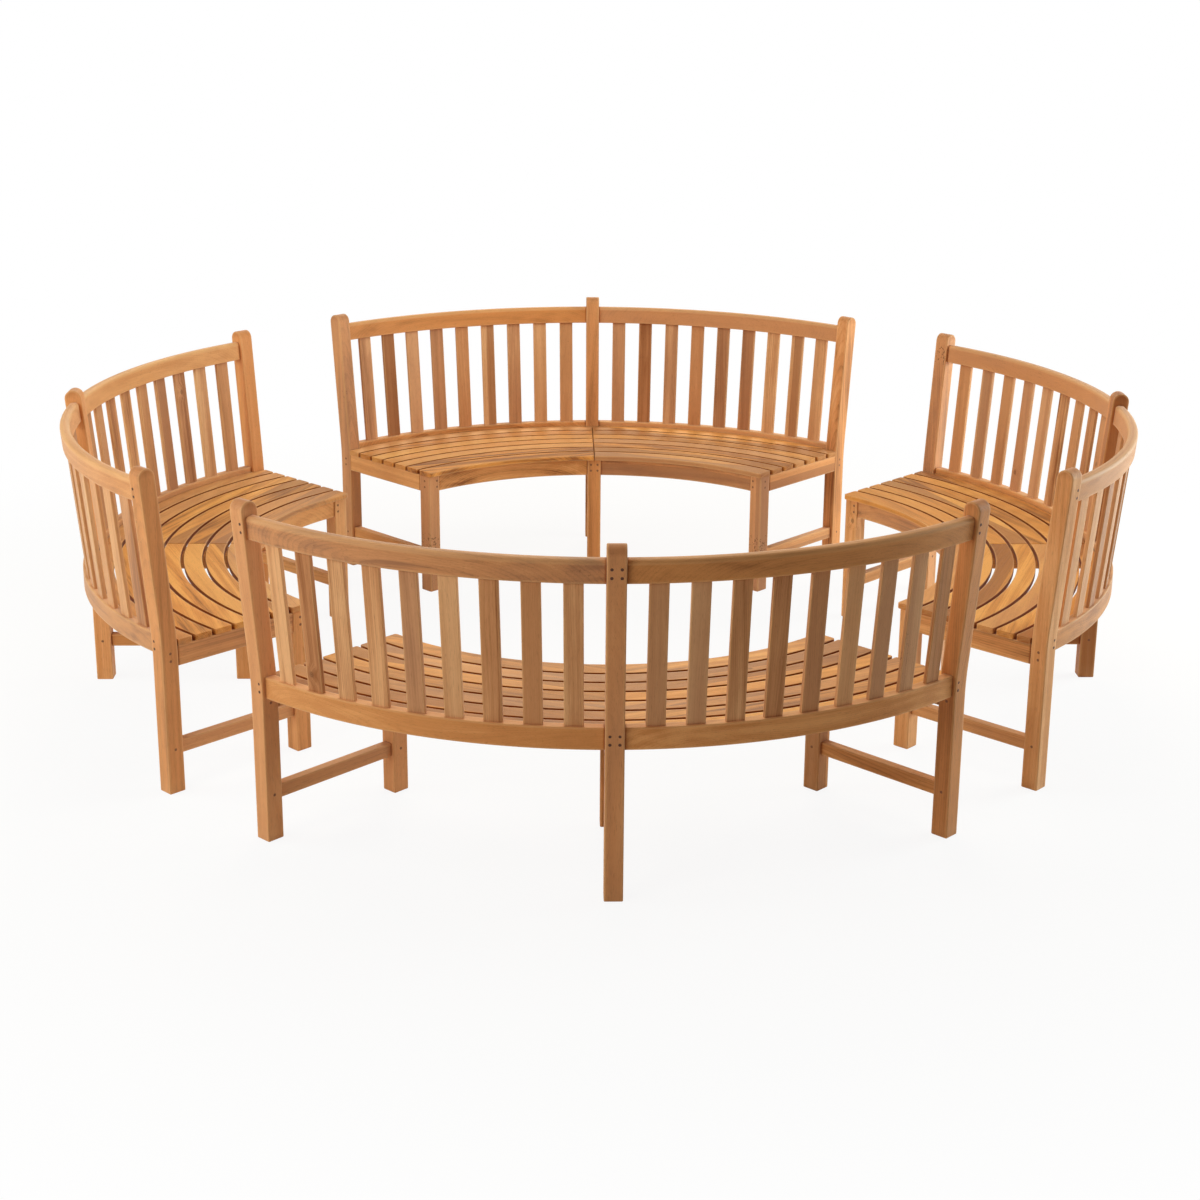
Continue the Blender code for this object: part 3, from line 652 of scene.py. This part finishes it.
def bending_group():
    """Bends a straight board round the arc's centre, with its ends sawn parallel to the frames."""
    labels = ("Radius", "Height", "Lean", "Length", "Bay Angle", "Start Offset", "End Offset")
    inputs = {label: "NodeSocketFloat" for label in labels}
    inputs["Material"] = "NodeSocketMaterial"
    group, nodes, given = new_group("bent_board", inputs)
    place = nodes.add("GeometryNodeInputPosition")
    along, across, up = nodes.parts(place)
    cosine, sine = given["Lean"].math("COSINE"), given["Lean"].math("SINE")
    radius = given["Radius"] + across * cosine + up * sine
    height = given["Height"] + up * cosine - across * sine
    first = (given["Start Offset"] / radius).math("ARCSINE") - given["Bay Angle"] * 0.5
    last = given["Bay Angle"] * 0.5 - (given["End Offset"] / radius).math("ARCSINE")
    share = along / given["Length"] + 0.5
    angle = first + (last - first) * share
    outward = radius * angle.math("COSINE")
    sideways = radius * angle.math("SINE")
    bent = nodes.vector(outward, sideways, height)
    # The plank that a curved board is sawn from is straight, and so is its grain
    in_plank = nodes.vector(sideways, outward - given["Radius"], up)
    kept = stored(nodes, given["Geometry"], GRAIN, "FLOAT_VECTOR", in_plank)
    moved = nodes.add("GeometryNodeSetPosition", None, {"Geometry": kept, "Position": bent})
    finish_group(nodes, moved, given["Material"])
    return group


def slat_row_group():
    """Sets out a bay's back slats between two frames, fanned round the arc's centre."""
    inputs = {
        "Count": "NodeSocketInt",
        "Bay Angle": "NodeSocketFloat",
        "Radius": "NodeSocketFloat",
        "Height": "NodeSocketFloat",
        "Lean": "NodeSocketFloat",
        "Material": "NodeSocketMaterial",
    }
    group, nodes, given = new_group("slat_row", inputs)
    blank = nodes.add("GeometryNodeRemoveAttribute", None, {"Geometry": given["Geometry"], "Name": BOARD})
    grained = stored(nodes, blank, GRAIN, "FLOAT_VECTOR", nodes.add("GeometryNodeInputPosition"))
    upright = nodes.vector(0.0, given["Lean"] - math.pi / 2, 0.0)
    turned = nodes.add("GeometryNodeTransform", None, {"Geometry": grained, "Rotation": upright})
    index = nodes.add("GeometryNodeInputIndex")
    angle = given["Bay Angle"] * ((index + 1.0) / (given["Count"] + 1.0) - 0.5)
    outward = given["Radius"] * angle.math("COSINE")
    sideways = given["Radius"] * angle.math("SINE")
    spots = nodes.vector(outward, sideways, given["Height"])
    line = nodes.add("GeometryNodeMeshLine", None, {"Count": given["Count"]})
    fanned = nodes.add("GeometryNodeSetPosition", None, {"Geometry": line, "Position": spots})
    turn = nodes.vector(0.0, 0.0, angle)
    values = {"Points": fanned, "Instance": turned, "Rotation": turn}
    row = nodes.add("GeometryNodeInstanceOnPoints", None, values)
    numbered = stored(nodes, row, BOARD, "FLOAT", index + 1.0, "INSTANCE")
    finish_group(nodes, numbered, given["Material"])
    return group


def peg_group():
    """Places the pegs of a joint in rows across and up it."""
    inputs = {
        "Across Count": "NodeSocketInt",
        "Up Count": "NodeSocketInt",
        "Across Spacing": "NodeSocketFloat",
        "Up Spacing": "NodeSocketFloat",
        "Material": "NodeSocketMaterial",
    }
    group, nodes, given = new_group("joint_pegs", inputs)
    blank = nodes.add("GeometryNodeRemoveAttribute", None, {"Geometry": given["Geometry"], "Name": BOARD})
    grained = stored(nodes, blank, GRAIN, "FLOAT_VECTOR", nodes.add("GeometryNodeInputPosition"))
    index = nodes.add("GeometryNodeInputIndex")
    line = nodes.add("GeometryNodeMeshLine", None, {"Count": given["Across Count"] * given["Up Count"]})
    column = index.math("MODULO", given["Across Count"])
    row = (index / given["Across Count"]).math("FLOOR")
    across = (column - (given["Across Count"] - 1.0) * 0.5) * given["Across Spacing"]
    up = (row - (given["Up Count"] - 1.0) * 0.5) * given["Up Spacing"]
    place = nodes.vector(0.0, across, up)
    spots = nodes.add("GeometryNodeSetPosition", None, {"Geometry": line, "Position": place})
    plate = nodes.add("GeometryNodeInstanceOnPoints", None, {"Points": spots, "Instance": grained})
    numbered = stored(nodes, plate, BOARD, "FLOAT", index + 1.0, "INSTANCE")
    finish_group(nodes, numbered, given["Material"])
    return group


def mesh_of(name, board, material=None):
    """A mesh with its board values kept as attributes."""
    mesh = bpy.data.meshes.new(name)
    mesh.from_pydata([tuple(point) for point in board.points], [], board.faces)
    mesh.polygons.foreach_set("use_smooth", [not level for level in board.flat])
    for label, kind, values in (
        (GRAIN, "FLOAT_VECTOR", board.grain),
        (BOARD, "FLOAT", board.board),
        (EDGE, "FLOAT", board.edge),
        (END_STAIN_AND_SHADE, "FLOAT", board.end),
    ):
        layer = mesh.attributes.new(label, kind, "POINT")
        field = "vector" if kind == "FLOAT_VECTOR" else "value"
        layer.data.foreach_set(field, np.ravel(values).astype(np.float32))
    if material:
        mesh.materials.append(material)
    return mesh


def board_of(mesh):
    """A mesh's points, faces and board values."""
    count = len(mesh.vertices)

    def read(owner, label, width):
        values = np.zeros(count * width, np.float32)
        owner.foreach_get(label, values)
        return values.reshape(count, width) if width > 1 else values

    layers = mesh.attributes
    faces = [tuple(face.vertices) for face in mesh.polygons]
    flat = [not face.use_smooth for face in mesh.polygons]
    grain = read(layers[GRAIN].data, "vector", 3)
    values = [read(layers[label].data, "value", 1) for label in (BOARD, EDGE, END_STAIN_AND_SHADE)]
    return Board(read(mesh.vertices, "co", 3), faces, grain, *values, flat)


def worked(group, board, **given):
    """The board after a Geometry Nodes group has worked on it, as a board again."""
    holder = bpy.data.objects.new("blank", mesh_of("blank", board))
    bpy.context.scene.collection.objects.link(holder)
    modifier = holder.modifiers.new("work", "NODES")
    modifier.node_group = group
    labels = {item.name: item.identifier for item in group.interface.items_tree if item.in_out == "INPUT"}
    for label, value in given.items():
        modifier[labels[label.replace("_", " ")]] = value
    graph = bpy.context.evaluated_depsgraph_get()
    shaped = holder.evaluated_get(graph)
    made = bpy.data.meshes.new_from_object(shaped, preserve_all_data_layers=True, depsgraph=graph)
    holder.modifiers.clear()
    result = board_of(made)
    bpy.data.objects.remove(holder, do_unlink=True)
    bpy.data.meshes.remove(made)
    return result


BENT_BOARD = bending_group()
SLAT_ROW = slat_row_group()
JOINT_PEGS = peg_group()


# The pieces of one bench


def back_leg():
    """A back leg along Z: upright foot, gentle crank, leaning post and half-round crest."""
    crest = POST_HEIGHT - HALF_DEPTH
    heights = spread(FIRST_RING, CRANK_START, FOOT_RINGS)
    heights += spread(CRANK_START, CRANK_END, CRANK_RINGS)[1:]
    heights += spread(CRANK_END, crest, POST_RINGS)[1:]
    rings, edges, ends = [], [], []

    def add(ring, on_edge, height, lift=0.0, at_end=0.0):
        """Place a ring across the leg at a height."""
        bend = min(max((height - CRANK_START) / CRANK_LENGTH, 0.0), 1.0) * LEAN
        outward = post_offset(height)
        lifts = lift if isinstance(lift, list) else [lift] * len(ring)
        placed = []
        for (across, side), rise in zip(ring, lifts):
            x = outward + across * math.cos(bend) + rise * math.sin(bend)
            z = height - across * math.sin(bend) + rise * math.cos(bend)
            placed.append((x, side, z))
        rings.append(placed)
        edges.append(on_edge)
        ends.append([at_end] * len(ring))

    for back, inset in end_insets(FOOT_EASING):
        corner = (HALF_DEPTH - inset, HALF_LEG - inset)
        ring, on_edge = ring_of((-corner[0], -corner[1]), corner, LEG_EASING - inset * ROUNDING_LOSS)
        worn = [max(level, FOOT_WEAR) for level in on_edge]
        add(ring, worn, back, 0.0, END_SHADE if back < FOOT_EASING * END_FACE else 0.0)
    ring, on_edge = ring_of((-HALF_DEPTH, -HALF_LEG), (HALF_DEPTH, HALF_LEG), LEG_EASING)
    for height in heights:
        add(ring, on_edge, height)
    for step in range(1, CREST_STEPS + 1):
        angle = step / CREST_STEPS * math.pi / 2
        narrow = [(across * math.cos(angle), side) for across, side in ring]
        rise = [abs(across) * math.sin(angle) for across, side in ring]
        add(narrow, on_edge, crest, rise, CREST_SHADE * math.sin(angle))
    leg = lofted(rings, edges, ends, (True, False))
    # The grain runs up the leg: along, across, deep
    leg.grain = leg.points[:, [2, 1, 0]] - np.array([POST_HEIGHT / 2, 0.0, 0.0])
    return leg


def front_leg():
    """A front leg along Z, up to the underside of the seat slats."""
    leg = straight_board(
        UNDER_SEAT_TOP,
        (-HALF_LEG, -HALF_DEPTH),
        (HALF_LEG, HALF_DEPTH),
        LEG_EASING,
        FOOT_EASING,
        stations=spread(-STUMP_MARK, STUMP_MARK, 3),
        joint=0.0,
    )
    upright = Matrix(((0, 0, 1, 0), (0, 1, 0, 0), (1, 0, 0, UNDER_SEAT_TOP / 2), (0, 0, 0, 1)))
    turned = leg.placed(upright)
    turned.faces = [face[::-1] for face in turned.faces]
    return turned


def frame_bar(thickness, height, middle, top_shade=0.0):
    """A bearer or stretcher from the front leg to the back leg, along X, with painted shade on its top if
    given.
    """
    start, stop = FRONT_INNER_FACE + JOINT_GAP, BACK_INNER_FACE - JOINT_GAP
    half = thickness / 2
    low, high = (-half, -height / 2), (half, height / 2)
    # A top shade paints shade on the top face
    looks = {"stations": spread(-BAR_MARK, BAR_MARK, 2), "painted_shade": (0.0, 0.0, top_shade)}
    bar = straight_board(stop - start, low, high, RAIL_EASING, BAR_END_EASING, **looks)
    return bar.placed(Matrix.Translation(((start + stop) / 2, 0.0, middle)))


def bent(low, high, easing, end_easing, radius, height, lean, offsets, marks=(), **more):
    """A curved board of a bay, centred on its middle, that ends so far from the frames' centre planes."""
    start_offset, end_offset = offsets
    length = radius * BAY - start_offset - end_offset
    stations = sorted(spread(-length / 2, length / 2, BEND_STEPS)[1:-1] + list(marks))
    blank = straight_board(length, low, high, easing, end_easing, stations=stations, **more)
    return worked(
        BENT_BOARD,
        blank,
        Radius=radius,
        Height=height,
        Lean=lean,
        Length=length,
        Bay_Angle=BAY,
        Start_Offset=start_offset,
        End_Offset=end_offset,
    )


def bent_rail(section, radius, height, lean=0.0, top_easing=None):
    """A curved rail or apron of a thickness and a depth, that butts against the legs at both ends."""
    thickness, depth = section
    offset = HALF_LEG + JOINT_GAP
    offsets = (offset, offset)
    low, high = (-thickness / 2, -depth / 2), (thickness / 2, depth / 2)
    ease = {"easing": RAIL_EASING, "end_easing": RAIL_END_EASING, "top_easing": top_easing}
    return bent(low, high, radius=radius, height=height, lean=lean, offsets=offsets, **ease)


def seat_slats(side):
    """The seat slats of a bay, from the seam over the middle bearer to just past the end bearer."""
    depth = SEAT_BACK_RADIUS - SEAT_FRONT_RADIUS
    width = (depth - FRONT_SLAT_WIDTH - (SEAT_SLAT_COUNT - 1) * SEAT_SLAT_GAP) / (SEAT_SLAT_COUNT - 1)
    half_thick = SEAT_SLAT_THICKNESS / 2
    seam, outside = SEAM_WIDTH / 2, -(HALF_LEG + SLAT_END_OVERHANG)
    slats, inner = [], SEAT_FRONT_RADIUS
    for number in range(SEAT_SLAT_COUNT):
        wide = FRONT_SLAT_WIDTH if number == 0 else width
        radius = inner + wide / 2
        length = radius * BAY - seam - outside
        half = length / 2
        outer_corner = FRONT_CORNER if number == 0 else SLAT_CORNER
        notched = number == SEAT_SLAT_COUNT - 1
        notch = HALF_LEG + POST_NOTCH_GAP
        clear = BACK_INNER_FACE - POST_NOTCH_GAP - radius

        def shape(place, wide=wide, half=half, corner=outer_corner, notched=notched, clear=clear):
            """The slat's section, narrowed at its rounded end and at the posts."""
            left, right = -wide / 2, wide / 2
            past = side * place - (half - corner)
            if past > 0:
                drawn = corner - math.sqrt(max(corner * corner - past * past, 0.0))
                left += drawn
                right -= min(drawn, SLAT_CORNER)
            from_seam, from_end = side * place + half, half - side * place
            if notched and (from_seam < notch - seam or from_end < notch - outside):
                right = min(right, clear)
            return (left, -half_thick), (right, half_thick)

        marks = []
        for step in range(SLAT_CORNER_STEPS):
            turned = math.sin(step / SLAT_CORNER_STEPS * math.pi / 2)
            marks.append(side * (half - outer_corner * (1 - turned)))
        if notched:
            for edge in (-half + notch - seam, half - (notch - outside)):
                marks += [side * edge - NOTCH_MARK, side * edge + NOTCH_MARK]
        offsets = (seam, outside) if side > 0 else (outside, seam)
        low, high = (-wide / 2, -half_thick), (wide / 2, half_thick)
        middle = SEAT_HEIGHT - half_thick
        # Painted shade darkens the slats' sides in the gaps between them, but not the front slat's front side
        looks = {"shape": shape, "painted_shade": (0.0 if number == 0 else GAP_SHADE, GAP_SHADE, 0.0), "joint": 0.0}
        slat = bent(low, high, SLAT_EASING, END_EASING, radius, middle, 0.0, offsets, marks, **looks)
        slats.append(slat.placed(Matrix.Identity(4), float(number)))
        inner += wide + SEAT_SLAT_GAP
    return joined(slats)


def back_slats():
    """A bay's leaning back slats, from their housings in the lower rail up to the top rail."""
    low = LOWER_RAIL_TOP - BACK_SLAT_HOUSING
    high = TOP_RAIL_MIDDLE - TOP_RAIL_HEIGHT / 2 * math.cos(LEAN)
    middle = (low + high) / 2
    radius = BACK_LEG_RADIUS + post_offset(high) - (high - middle) * math.tan(LEAN)
    length = (high - low) / math.cos(LEAN)
    half_wide, half_thick = BACK_SLAT_WIDTH / 2, BACK_SLAT_THICKNESS / 2
    corners = (-half_wide, -half_thick), (half_wide, half_thick)
    # Their ends darken where they meet the rails: partly dark joint and partly painted shade
    looks = {"stations": spread(-SLAT_MARK, SLAT_MARK, 4), "joint": JOINT_SHADE / 2}
    slat = straight_board(length, *corners, BACK_SLAT_EASING, SLAT_END_EASING, **looks)
    sizes = {"Radius": radius, "Height": middle, "Lean": LEAN}
    return worked(SLAT_ROW, slat, Count=BACK_SLAT_COUNT, Bay_Angle=BAY, **sizes)


def peg(stained):
    """A dowel's end, a little proud of the face, pointing along X, and how dark its stain is."""
    rings, edges, ends = [], [], []
    for out, radius in ((-PEG_SUNK, PEG_RADIUS), (PEG_SHOULDER, PEG_RADIUS), (PEG_PROUD, PEG_TOP_RADIUS)):
        ring = []
        for step in range(PEG_SIDES):
            angle = 2 * math.pi * step / PEG_SIDES
            ring.append((out, radius * math.cos(angle), radius * math.sin(angle)))
        rings.append(ring)
        edges.append([0.0] * PEG_SIDES)
        ends.append([stained] * PEG_SIDES)
    return lofted(rings, edges, ends)


def pegs(across_count, up_count, place, stained=PALE_PEG):
    """The pegs of one joint, in rows, with X pointing out of the leg's face."""
    plate = worked(
        JOINT_PEGS,
        peg(stained),
        Across_Count=across_count,
        Up_Count=up_count,
        Across_Spacing=2 * PEG_INSET,
        Up_Spacing=PEG_RISE,
    )
    return plate.placed(place)


ENDS = {"left": -1, "middle": 0, "right": 1}


def frame_place(end):
    """Turn from the bench's middle to one of its frames."""
    return Matrix.Rotation(end * BAY, 4, "Z")


def joint_pegs():
    """Every peg of a bench that shows."""
    found = []
    for end in (-1, 0, 1):
        columns = 2 if end == 0 else 1
        sideways = -end * PEG_INSET
        for height, lean in ((TOP_RAIL_MIDDLE, LEAN), (LOWER_RAIL_MIDDLE, LOWER_PEG_LEAN)):
            face = Matrix.Translation((BACK_LEG_RADIUS + post_offset(height), sideways, height))
            out = face @ Matrix.Rotation(lean, 4, "Y") @ Matrix.Translation((HALF_DEPTH, 0.0, 0.0))
            found.append(pegs(columns, 2, frame_place(end) @ out, 1.0))
        front = Matrix.Translation((FRONT_LEG_FACE, sideways, APRON_MIDDLE))
        facing = front @ Matrix.Rotation(math.pi, 4, "Z")
        found.append(pegs(columns, 2, frame_place(end) @ facing))
        for side in (-1, 1) if end == 0 else (-end, end):
            for count, height in ((2, BEARER_MIDDLE), (1, STRETCHER_MIDDLE)):
                for radius in (BACK_LEG_RADIUS, FRONT_LEG_RADIUS):
                    spot = Matrix.Translation((radius, side * HALF_LEG, height))
                    out = spot @ Matrix.Rotation(side * math.pi / 2, 4, "Z")
                    found.append(pegs(1, count, frame_place(end) @ out))
    return joined(found)


def make_bench():
    """Every piece of a bench: name, boards, finish and the CAD node that it stands for."""
    pieces = []
    post, stump = back_leg(), front_leg()
    bar = frame_bar(STRETCHER_THICKNESS, STRETCHER_HEIGHT, STRETCHER_MIDDLE)
    beam = frame_bar(LEG_WIDTH, BEARER_HEIGHT, BEARER_MIDDLE, BEARER_TOP_SHADE)
    for name, end in ENDS.items():
        turn = frame_place(end)
        back = post.placed(turn @ Matrix.Translation((BACK_LEG_RADIUS, 0.0, 0.0)))
        pieces.append((f"back_leg_{name}_teak", back, "leg_teak", f"back_leg_{name}"))
        front = stump.placed(turn @ Matrix.Translation((FRONT_LEG_RADIUS, 0.0, 0.0)))
        node = f"front_leg_{name}" if end else "front_leg_and_stretcher_middle"
        pieces.append((f"front_leg_{name}_teak", front, "leg_teak", node))
        node = f"stretcher_{name}" if end else "front_leg_and_stretcher_middle"
        pieces.append((f"stretcher_{name}_teak", bar.placed(turn), "rail_teak", node))
        pieces.append((f"seat_bearer_{name}", beam.placed(turn), "rail_teak", "seat_deck"))
    apron = bent_rail((APRON_THICKNESS, APRON_HEIGHT), APRON_RADIUS, APRON_MIDDLE)
    lower = bent_rail((LOWER_RAIL_THICKNESS, LOWER_RAIL_HEIGHT), LOWER_RAIL_RADIUS, LOWER_RAIL_MIDDLE)
    section = (TOP_RAIL_THICKNESS, TOP_RAIL_HEIGHT)
    top = bent_rail(section, TOP_RAIL_RADIUS, TOP_RAIL_MIDDLE, LEAN, TOP_RAIL_ROUNDING)
    slats = back_slats()
    for name, side in (("left", -1), ("right", 1)):
        turn = frame_place(side / 2)
        pieces.append((f"apron_{name}_teak", apron.placed(turn), "rail_teak", f"apron_{name}"))
        pieces.append((f"top_rail_{name}_teak", top.placed(turn), "rail_teak", f"top_rail_{name}"))
        pieces.append((f"lower_rail_{name}", lower.placed(turn), "rail_teak", f"slatted_back_{name}"))
        pieces.append((f"back_slats_{name}", slats.placed(turn), "back_teak", f"slatted_back_{name}"))
        pieces.append((f"seat_slats_{name}", seat_slats(side).placed(turn), "seat_teak", "seat_deck"))
    pieces.append(("joint_pegs", joint_pegs(), "peg_teak", None))
    return pieces


def set_up(name, board, finish, node):
    """Add a finished piece to the scene with its finish, hang it on the root and hide the CAD part that it
    stands for.
    """
    mesh = mesh_of(name, board, TEAK[finish])
    shape = bmesh.new()
    shape.from_mesh(mesh)
    bmesh.ops.remove_doubles(shape, verts=shape.verts, dist=MERGE_DISTANCE)
    bmesh.ops.recalc_face_normals(shape, faces=shape.faces)
    shape.to_mesh(mesh)
    shape.free()
    piece = bpy.data.objects.new(name, mesh)
    bpy.context.scene.collection.objects.link(piece)
    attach(piece, "root")
    if node:
        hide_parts(node)
    "leg_teak" if finish == "peg_teak" else finish
    return piece


def set_up_ring():
    """Stand the four benches round the open centre."""
    numbers = random.Random(BOARD_SEED)
    for bench in range(1, BENCH_COUNT + 1):
        turn = Matrix.Rotation((bench - 2) * math.pi / 2, 4, "Z")
        place = turn @ Matrix.Translation((BENCH_SHIFT, 0.0, 0.0))
        for name, board, finish, node in BENCH:
            number = numbers.randrange(1, BOARD_NUMBER_LIMIT) * BOARD_NUMBER_STEP
            standing = board.placed(place).numbered(number)
            set_up(f"bench_{bench}_{name}", standing, finish, f"bench_{bench}_{node}" if node else None)


BENCH = make_bench()
set_up_ring()


# Studio


# The floor, where its shadows fade to white, and the tint and level of the light from all round
FLOOR_COLOUR = (0.9, 0.865, 0.81, 1.0)
FLOOR_REACH = 30.0
FLOOR_DROP = 0.0005
SHADOW_START = 1.7
SHADOW_STOP = 3.6
SHADOW_WHITE = 0.90
WHITE = (1.0, 1.0, 1.0, 1.0)
SURROUND_TINT = (1.0, 0.72, 0.60, 1.0)
SURROUND_LEVEL = 0.09


def white_ground():
    """A white floor that shows paper white to the camera but keeps the benches' soft shadow."""
    material = bpy.data.materials.new("studio_floor")
    material.use_nodes = True
    material.node_tree.nodes.clear()
    nodes = NodeTree(material.node_tree)
    rays = ("Is Camera Ray", "Is Glossy Ray", "Is Transmission Ray")
    seen, mirrored, through = nodes.add("ShaderNodeLightPath", None, None, rays)
    lit = nodes.add("ShaderNodeBsdfDiffuse", None, {"Color": FLOOR_COLOUR})
    shown = nodes.add("ShaderNodeEmission", None, {"Color": WHITE, "Strength": 1.0})
    place = nodes.add("ShaderNodeTexCoord", None, None, "Object")
    away = nodes.add("ShaderNodeVectorMath", {"operation": "LENGTH"}, {0: place}, "Value")
    looked_at = seen.math("MAXIMUM", mirrored).math("MAXIMUM", through)
    share = looked_at * nodes.fade(away, SHADOW_START, SHADOW_STOP, SHADOW_WHITE, 1.0)
    mixed = nodes.add("ShaderNodeMixShader", None, {0: share, 1: lit, 2: shown})
    nodes.add("ShaderNodeOutputMaterial", None, {"Surface": mixed})
    shape = bmesh.new()
    bmesh.ops.create_grid(shape, x_segments=1, y_segments=1, size=FLOOR_REACH)
    mesh = bpy.data.meshes.new("studio_floor")
    shape.to_mesh(mesh)
    shape.free()
    mesh.materials.append(material)
    floor = bpy.data.objects.new("studio_floor", mesh)
    bpy.context.scene.collection.objects.link(floor)
    floor.location.z = -FLOOR_DROP


def white_world(level):
    """A white surround that lights the benches evenly and a little warmly from all round."""
    world = bpy.data.worlds.new("studio")
    bpy.context.scene.world = world
    world.use_nodes = True
    world.node_tree.nodes.clear()
    nodes = NodeTree(world.node_tree)
    seen = nodes.add("ShaderNodeLightPath", None, None, "Is Camera Ray")
    strength = seen * (1.0 - level) + level
    colour = nodes.blend(seen, SURROUND_TINT, WHITE)
    sky = nodes.add("ShaderNodeBackground", None, {"Color": colour, "Strength": strength})
    nodes.add("ShaderNodeOutputWorld", None, {"Surface": sky})


def soft_lamp(name, place, aim, size, watts, colour=(1.0, 1.0, 1.0)):
    """A softbox that shines on the benches and doesn't show itself."""
    light = bpy.data.lights.new(name, "AREA")
    light.shape = "RECTANGLE"
    light.size, light.size_y = size
    light.energy = watts
    light.color = colour
    lamp = bpy.data.objects.new(name, light)
    bpy.context.scene.collection.objects.link(lamp)
    lamp.location = place
    lamp.rotation_euler = (Vector(aim) - Vector(place)).to_track_quat("-Z", "Y").to_euler()
    lamp.visible_camera = False


def set_camera():
    """The photograph's viewpoint, found from the legs' feet and tops, for a square picture."""
    frame_side = 1200.0
    focal, middle_x, middle_y = 2086.9665, 634.3044, 550.5078
    pitch, roll, yaw = 0.2993, 0.0123, math.radians(2.319)
    place = (-0.147579, -6.236236, 2.3434)
    data = bpy.data.cameras.new("photo_view")
    data.sensor_width = 36.0
    data.lens = focal / frame_side * data.sensor_width
    data.shift_x = (frame_side / 2 - middle_x) / frame_side
    data.shift_y = (middle_y - frame_side / 2) / frame_side
    camera = bpy.data.objects.new("photo_view", data)
    bpy.context.scene.collection.objects.link(camera)
    tilt = Matrix.Rotation(math.pi / 2 - pitch, 4, "X")
    heading = Matrix.Translation(place) @ Matrix.Rotation(-yaw, 4, "Z")
    camera.matrix_world = heading @ tilt @ Matrix.Rotation(roll, 4, "Z")
    bpy.context.scene.camera = camera


white_ground()
white_world(SURROUND_LEVEL)
soft_lamp("softbox_above", (0.0, 0.0, 3.4), (0.0, 0.0, 0.0), (2.2, 2.2), 41.0, (1.0, 1.0, 0.94))
soft_lamp("softbox_left", (-4.2, -0.8, 2.2), (0.0, 0.0, 0.4), (2.5, 2.5), 87.0, (0.86, 0.97, 0.94))
soft_lamp("softbox_right", (4.2, 0.2, 2.2), (0.0, 0.0, 0.4), (2.5, 2.5), 63.0, (0.92, 0.99, 1.0))
soft_lamp("softbox_beside", (4.6, 1.0, 1.2), (0.0, 0.0, 0.5), (2.0, 2.0), 130.0, (0.78, 0.96, 1.0))
soft_lamp("softbox_front", (-3.5, -4.0, 2.6), (0.0, 0.0, 0.4), (2.0, 2.0), 76.0, (0.97, 0.93, 0.90))
soft_lamp("softbox_back", (0.0, 5.0, 3.0), (0.0, 0.0, 0.4), (3.0, 2.0), 132.0, (1.0, 0.87, 0.62))
set_camera()
bpy.context.scene.view_settings.view_transform = "Standard"
